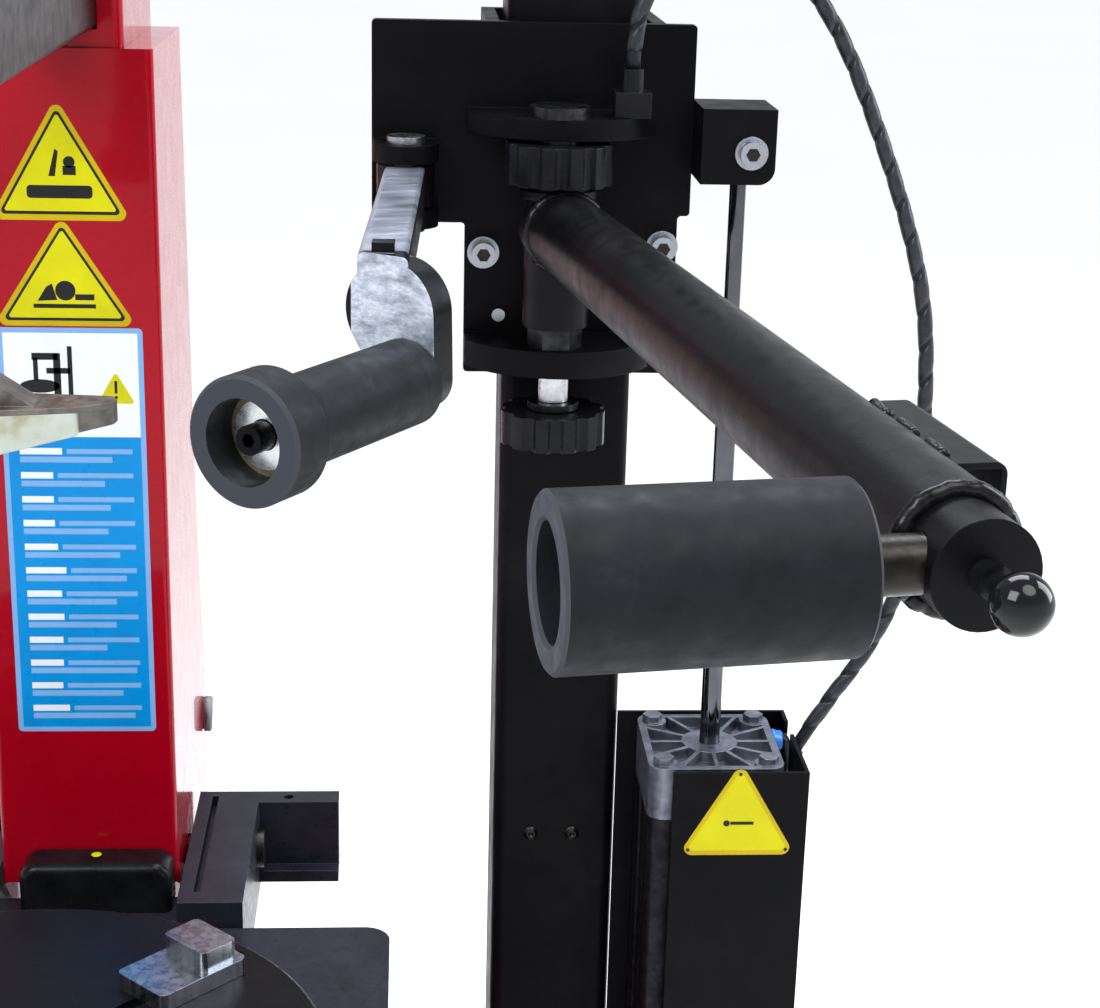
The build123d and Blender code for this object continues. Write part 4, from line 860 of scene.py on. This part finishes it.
def tyre_symbol(base, size):
    """A tyre seen from its side with a lever and a small block over it."""
    half, thick, round_off = size * 0.50, size * 0.20, size * 0.06
    tyre = [rounded_polygon(bar_outline(-half, half, base, base + thick), round_off)]
    lever = [[Vector((-size * 0.16, base + size * 0.34)), Vector((-size * 0.06, base + size * 0.34)),
              Vector((0.0, base + size * 0.72)), Vector((-size * 0.05, base + size * 0.76))]]
    block = [bar_outline(size * 0.06, size * 0.26, base + size * 0.36, base + size * 0.50),
             disc((size * 0.16, base + size * 0.56), size * 0.09, 16)]
    return tyre + lever + block


def crush_symbol(base, size):
    """A round form between two blocks, over a base line."""
    return [bar_outline(-size * 0.52, size * 0.52, base, base + size * 0.07),
            disc((size * 0.02, base + size * 0.30), size * 0.17, 20),
            [Vector((-size * 0.45, base + size * 0.12)), Vector((-size * 0.12, base + size * 0.14)),
             Vector((-size * 0.20, base + size * 0.42)), Vector((-size * 0.30, base + size * 0.36))],
            bar_outline(size * 0.18, size * 0.50, base + size * 0.14, base + size * 0.24)]


def info_panel(place):
    """Two-part information label: pictogram above, rows of plain bars below."""
    left, right, low, high, split = -0.058, 0.064, 0.781, 1.152, 1.056
    edge = 0.0045

    def layer(name, outlines, bottom_mm, top_mm, film):
        add_flats(name, outlines, place, bottom_mm * MM, top_mm * MM, film, "column")

    layer("panel_rim", [rounded_polygon(bar_outline(left, right, low, high), 0.004)], 0, 0.15, PALE_FILM)
    layer("panel_upper", [bar_outline(left + edge, right - edge, split, high - edge)], 0.12, 0.25, WHITE_FILM)
    layer("panel_lower", [bar_outline(left + edge, right - edge, low + edge, split)], 0.12, 0.25, BLUE_FILM)
    heads, lines = [], []
    rows = 12
    for row in range(rows):
        top = split - 0.010 - row * (split - low - 0.014) / rows
        start = left + 0.014
        stop = start + random.uniform(0.026, 0.036)
        heads.append(bar_outline(start, stop, top - 0.0058, top))
        lines.append(bar_outline(stop + 0.004, right - 0.012, top - 0.0052, top - 0.0008))
        ends = start + random.uniform(0.066, 0.094)
        lines.append(bar_outline(start, ends, top - 0.0130, top - 0.0078))
    layer("panel_heads", heads, 0.22, 0.32, WHITE_FILM)
    layer("panel_lines", lines, 0.22, 0.32, PALE_FILM)
    # a small machine in outline, and a warning triangle beside it
    machine = [bar_outline(-0.040, -0.006, 1.085, 1.094), bar_outline(-0.036, -0.012, 1.072, 1.086),
               disc((-0.024, 1.101), 0.017, 20, 0.35), bar_outline(-0.012, -0.006, 1.094, 1.130),
               bar_outline(-0.030, -0.008, 1.124, 1.130), bar_outline(-0.029, -0.025, 1.106, 1.126),
               bar_outline(0.0, 0.004, 1.080, 1.136), bar_outline(-0.018, 0.002, 1.112, 1.117)]
    layer("panel_picture", machine, 0.22, 0.34, BLACK_FILM)
    small = rounded_polygon([(0.024, 1.086), (0.056, 1.086), (0.040, 1.114)], 0.002)
    layer("panel_triangle", [small], 0.22, 0.34, YELLOW_FILM)
    mark = [bar_outline(0.0388, 0.0412, 1.095, 1.106), disc((0.040, 1.0915), 0.0014, 12)]
    layer("panel_mark", mark, 0.32, 0.42, BLACK_FILM)


column_front = on_front(COLUMN_FACE)
warning_triangle("label_a", column_front, 1.345, 1.2435, 0.0585, "column",
                 tyre_symbol(1.262, 0.054), BLACK_FILM)
warning_triangle("label_b", column_front, 1.2475, 1.1535, 0.0600, "column",
                 crush_symbol(1.169, 0.050), BLACK_FILM)
info_panel(column_front)
guard_face = on_front(GUARD_FRONT, GUARD_LABEL_X)
warning_triangle("guard_label", guard_face, 0.889, 0.811, 0.0455, "machine",
                 [disc((-0.009, 0.838), 0.0026, 14), bar_outline(-0.006, 0.012, 0.8368, 0.8394),
                  *[disc(dot, 0.0014, 10) for dot in ((0, 0.879), (-0.038, 0.8155), (0.038, 0.8155))]],
                 YELLOW_FILM)


# ---------------------------------------------------------------- welds
def weld_ring(name, centre, axis, radius, bead, body):
    """Uneven weld bead round an axis."""
    side = axis.orthogonal().normalized()
    up = axis.cross(side)
    count = 72
    angles = [math.radians(360.0 * step / count) for step in range(count + 1)]
    line = [centre + (side * math.cos(a) + up * math.sin(a)) * (radius + random.uniform(-0.3, 0.3) * MM)
            + axis * random.uniform(-0.5, 0.5) * MM for a in angles]
    maker = bmesh.new()
    add_tube(maker, line, bead, 12, uneven=0.14)
    return finish_piece(name, maker, WELD, body)


def weld_run(name, start, end, bead, body):
    """Uneven straight weld bead."""
    start, end = Vector(start), Vector(end)
    count = max(5, int((end - start).length / 0.004))
    line = [start.lerp(end, step / count) + Vector([random.uniform(-0.4, 0.4) * MM for _ in range(3)])
            for step in range(count + 1)]
    maker = bmesh.new()
    add_tube(maker, line, bead, 12, uneven=0.18)
    return finish_piece(name, maker, WELD, body)


tube_axis = arm_pivot.copy()
tube_axis.z = TUBE_Z
weld_ring("weld_sleeve", tube_axis + arm_out * (TUBE_END + 0.001), arm_out, SLEEVE_R + 0.002, 0.0042,
          "press_arm")
weld_ring("weld_hub", tube_axis + arm_out * 0.027, arm_out, 0.0275, 0.0035, "press_arm")
for index, distance in enumerate((0.590, 0.622, 0.655)):
    spot = tube_axis + arm_out * distance + arm_right * 0.0175 + Vector((0, 0, 0.0226))
    weld_run(f"weld_channel_{index}", spot, spot + arm_out * 0.018, 0.0028, "press_arm")
weld_run("weld_bar_link", (0.262, tulip_centre.y + 0.030, 1.301), (0.290, tulip_centre.y + 0.012, 1.301),
         0.0032, "bar")
for index, height in enumerate((0.200, 0.260, 0.480, 0.540)):
    weld_run(f"weld_post_{index}", (post_low.x + 0.091, 0.241, height), (post_low.x + 0.091, 0.317, height),
             0.003, "machine")


# ---------------------------------------------------------------- small fittings
def make_post_cap():
    """Moulded cap pressed on the post's top."""
    maker = bmesh.new()
    x, y, z = *POST_CENTRE, post_high.z
    add_block(maker, (x - 0.049, y - 0.049, z), (x + 0.049, y + 0.049, z + 0.006), 0.0025)
    add_block(maker, (x - 0.036, y - 0.036, z + 0.004), (x + 0.036, y + 0.036, z + 0.009), 0.002)
    finish_piece("post_cap", maker, PLASTIC, "machine")


def make_column_stops():
    """Thin wedge-shaped stops on the column's sides, at its back."""
    outline = ((0.668, 0.670), (0.692, 0.698), (0.684, 0.704), (0.668, 0.704))
    for side in (-1, 1):
        maker = bmesh.new()
        face = side * column_high.x
        add_flat(maker, [Vector(corner) for corner in outline],
                 lambda y, z, out: Vector((face + side * out, y, z)), 0, 0.009)
        bmesh.ops.bevel(maker, geom=maker.edges[:], offset=0.0012, segments=2, affect="EDGES")
        finish_piece(f"column_stop_{side + 2}", maker, GREY_PLASTIC, "column")


def make_painted_socket_shades():
    """Flat black hexagons on the heads of the carriage's bolts: painted shade standing in for their hexagon
    sockets.
    """
    for name, face, across, height in (("left", 0.200, 0.345, 1.261), ("right", 0.200, 0.479, 1.267),
                                       ("lug", 0.152, 0.535, 1.345)):
        add_flats(f"socket_{name}", [disc((0, height), 0.0052, 6)], on_front(face, across), 0.0, 0.2 * MM,
                  BLACK_OXIDE, "carriage")


def make_foot_mark():
    """Yellow dot on the foot cover's button."""
    _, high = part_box("column_foot_cover")
    maker = bmesh.new()
    add_lathe(maker, [(0.0046, 0.0), (0.0046, 0.0003), (0.0040, 0.0006), (0, 0.0007)],
              (0.009, 0.400, high.z), (0, 0, 1), 24)
    finish_piece("foot_mark", maker, YELLOW_FILM, "machine")


def make_hose_collar():
    """Blue push-in collar where the elbow leaves the cylinder's cover."""
    maker = bmesh.new()
    profile = [(0.0080, 0.0), (0.0098, 0.0004), (0.0098, 0.003), (0.0088, 0.0042), (0.0088, 0.008),
               (0.0076, 0.009)]
    add_lathe(maker, profile, (cover_high.x, 0.1995, 0.868), (1, 0, 0), 32)
    finish_piece("hose_collar", maker, BLUE_PLASTIC, "machine")


def make_post_screws():
    """Two small screws low on the post's front."""
    for index, x in enumerate((0.392, 0.426)):
        maker = bmesh.new()
        add_bolt(maker, (x, POST_FRONT, 0.7725), (0, -1, 0), 0.0042, 0.0032)
        finish_piece(f"post_screw_{index}", maker, BLACK_OXIDE, "machine")


def make_cabinet_details():
    """Service panel with louvres, its screws, and a row of screws along the cabinet's top edge on both sides.
    """
    x, skin = cabinet_low.x, PANEL_SKIN
    maker = bmesh.new()
    add_block(maker, (x - skin, -0.22, 0.16), (x, 0.24, 0.54), 0.001)
    for row in range(7):
        z = 0.40 + row * 0.018
        add_block(maker, (x - skin - 0.005, -0.13, z), (x - skin + 0.001, 0.15, z + 0.007), 0.0022,
                  Matrix.Rotation(math.radians(18), 4, "Y"))
    finish_piece("service_panel", maker, RED, "machine")
    maker = bmesh.new()
    for y in (-0.205, 0.01, 0.225):
        for z in (0.175, 0.525):
            add_bolt(maker, (x - skin, y, z), (-1, 0, 0), 0.005, 0.0035)
    finish_piece("panel_screws", maker, ZINC, "machine")
    maker = bmesh.new()
    for y in (-0.29, -0.10, 0.10, 0.30):
        for side, edge in ((1, cabinet_high.x), (-1, cabinet_low.x)):
            add_bolt(maker, (edge, y, 0.590), (side, 0, 0), 0.0045, 0.003)
    finish_piece("cabinet_screws", maker, ZINC, "machine")


def make_pedal_grips():
    """Ribbed rubber pads on the three pedals."""
    for index in (1, 2, 3):
        low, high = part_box(f"pedal_{index}")
        maker = bmesh.new()
        middle = (low.x + high.x) / 2
        for rib in range(5):
            y = low.y + RIB_PITCH * (rib + 1)
            tread = pedal_top(index, y)
            add_block(maker, (middle - RIB_HALF, y, tread), (middle + RIB_HALF, y + 0.005, tread + 0.0025),
                      0.001)
        finish_piece(f"pedal_grip_{index}", maker, RUBBER, f"pedal_{index}")


def pedal_top(index, y):
    """Height of a pedal's tread at one place, read from its mesh."""
    low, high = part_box(f"pedal_{index}")
    above = Vector(((low.x + high.x) / 2 + 0.02, y, high.z + 0.1))
    hit, location, _, _ = nodes[f"pedal_{index}"].ray_cast(above, Vector((0, 0, -1)))
    return location.z if hit else high.z


make_post_cap()
make_column_stops()
make_foot_mark()
make_painted_socket_shades()
make_hose_collar()
make_post_screws()
make_cabinet_details()
make_pedal_grips()


# ---------------------------------------------------------------- stage, light and camera
def make_stage():
    maker = bmesh.new()
    bmesh.ops.create_circle(maker, cap_ends=True, radius=40.0, segments=96)
    mesh = bpy.data.meshes.new("floor")
    maker.to_mesh(mesh)
    maker.free()
    floor = bpy.data.objects.new("floor", mesh)
    bpy.context.scene.collection.objects.link(floor)
    floor.location.z = min(0.0, cad_box[0][2])
    look = Look("floor_paint", (0.92, 0.92, 0.92), 0.9, Specular_IOR_Level=0.1,
                Emission_Color=(1.0, 1.0, 1.0, 1.0), Emission_Strength=0.14)
    look.clouds(0.8, 3.0, (0.3, (0.91, 0.91, 0.91)), (0.7, (0.93, 0.93, 0.93)))
    mesh.materials.append(look.material)
    world = bpy.data.worlds.new("studio")
    world.use_nodes = True
    tree = world.node_tree
    place = tree.nodes.new("ShaderNodeTexCoord")
    split = tree.nodes.new("ShaderNodeSeparateXYZ")
    fade = tree.nodes.new("ShaderNodeValToRGB")
    tree.links.new(place.outputs["Generated"], split.inputs["Vector"])
    tree.links.new(split.outputs["Z"], fade.inputs["Fac"])
    tree.links.new(fade.outputs["Color"], tree.nodes["Background"].inputs["Color"])
    # pale at the horizon, dimmer overhead
    for end, position, brightness in ((0, 0.02, 0.98), (1, 0.40, 0.34)):
        fade.color_ramp.elements[end].position = position
        fade.color_ramp.elements[end].color = (brightness * 0.95, brightness * 0.97, brightness * 1.04, 1.0)
    bpy.context.scene.world = world


def add_softbox(name, place, aim, width, height, power):
    light = bpy.data.lights.new(name, "AREA")
    light.shape, light.size, light.size_y, light.energy = "RECTANGLE", width, height, power
    light.color = (0.88, 0.94, 1.0)
    lamp = bpy.data.objects.new(name, light)
    bpy.context.scene.collection.objects.link(lamp)
    lamp.location = place
    lamp.rotation_euler = (Vector(aim) - Vector(place)).to_track_quat("-Z", "Y").to_euler()


def add_sun(name, direction, strength, angle):
    light = bpy.data.lights.new(name, "SUN")
    light.energy, light.angle = strength, math.radians(angle)
    lamp = bpy.data.objects.new(name, light)
    bpy.context.scene.collection.objects.link(lamp)
    lamp.rotation_euler = Vector(direction).to_track_quat("-Z", "Y").to_euler()


def add_camera():
    """Eye height above the press arm, looking a little to the right of the column and down."""
    heading, pitch, roll = (math.radians(angle) for angle in (4.0, 17.63, 1.478))
    eye = (0.291, -1.346, 1.560)
    data = bpy.data.cameras.new("camera")
    data.lens, data.sensor_width = 68.95, 36.0      # millimetres
    data.clip_end = 200.0
    camera = bpy.data.objects.new("camera", data)
    bpy.context.scene.collection.objects.link(camera)
    turn = Matrix.Rotation(-heading, 4, "Z") @ Matrix.Rotation(math.pi / 2 - pitch, 4, "X") \
        @ Matrix.Rotation(roll, 4, "Z")
    camera.matrix_world = Matrix.Translation(eye) @ turn
    bpy.context.scene.camera = camera


make_stage()
add_softbox("key", (-1.3, -1.6, 3.1), (0.3, 0.0, 1.2), 1.5, 1.5, 70)
add_softbox("right", (2.6, 0.2, 2.2), (0.3, 0.1, 1.0), 1.2, 2.0, 60)
add_softbox("top", (0.5, 1.2, 3.4), (0.3, 0.0, 1.0), 2.0, 1.2, 60)
add_sun("sky", (-0.25, 0.35, -1.0), 1.9, 40)
add_camera()

view = bpy.context.scene.view_settings
view.view_transform = "Standard"
view.look = "None"
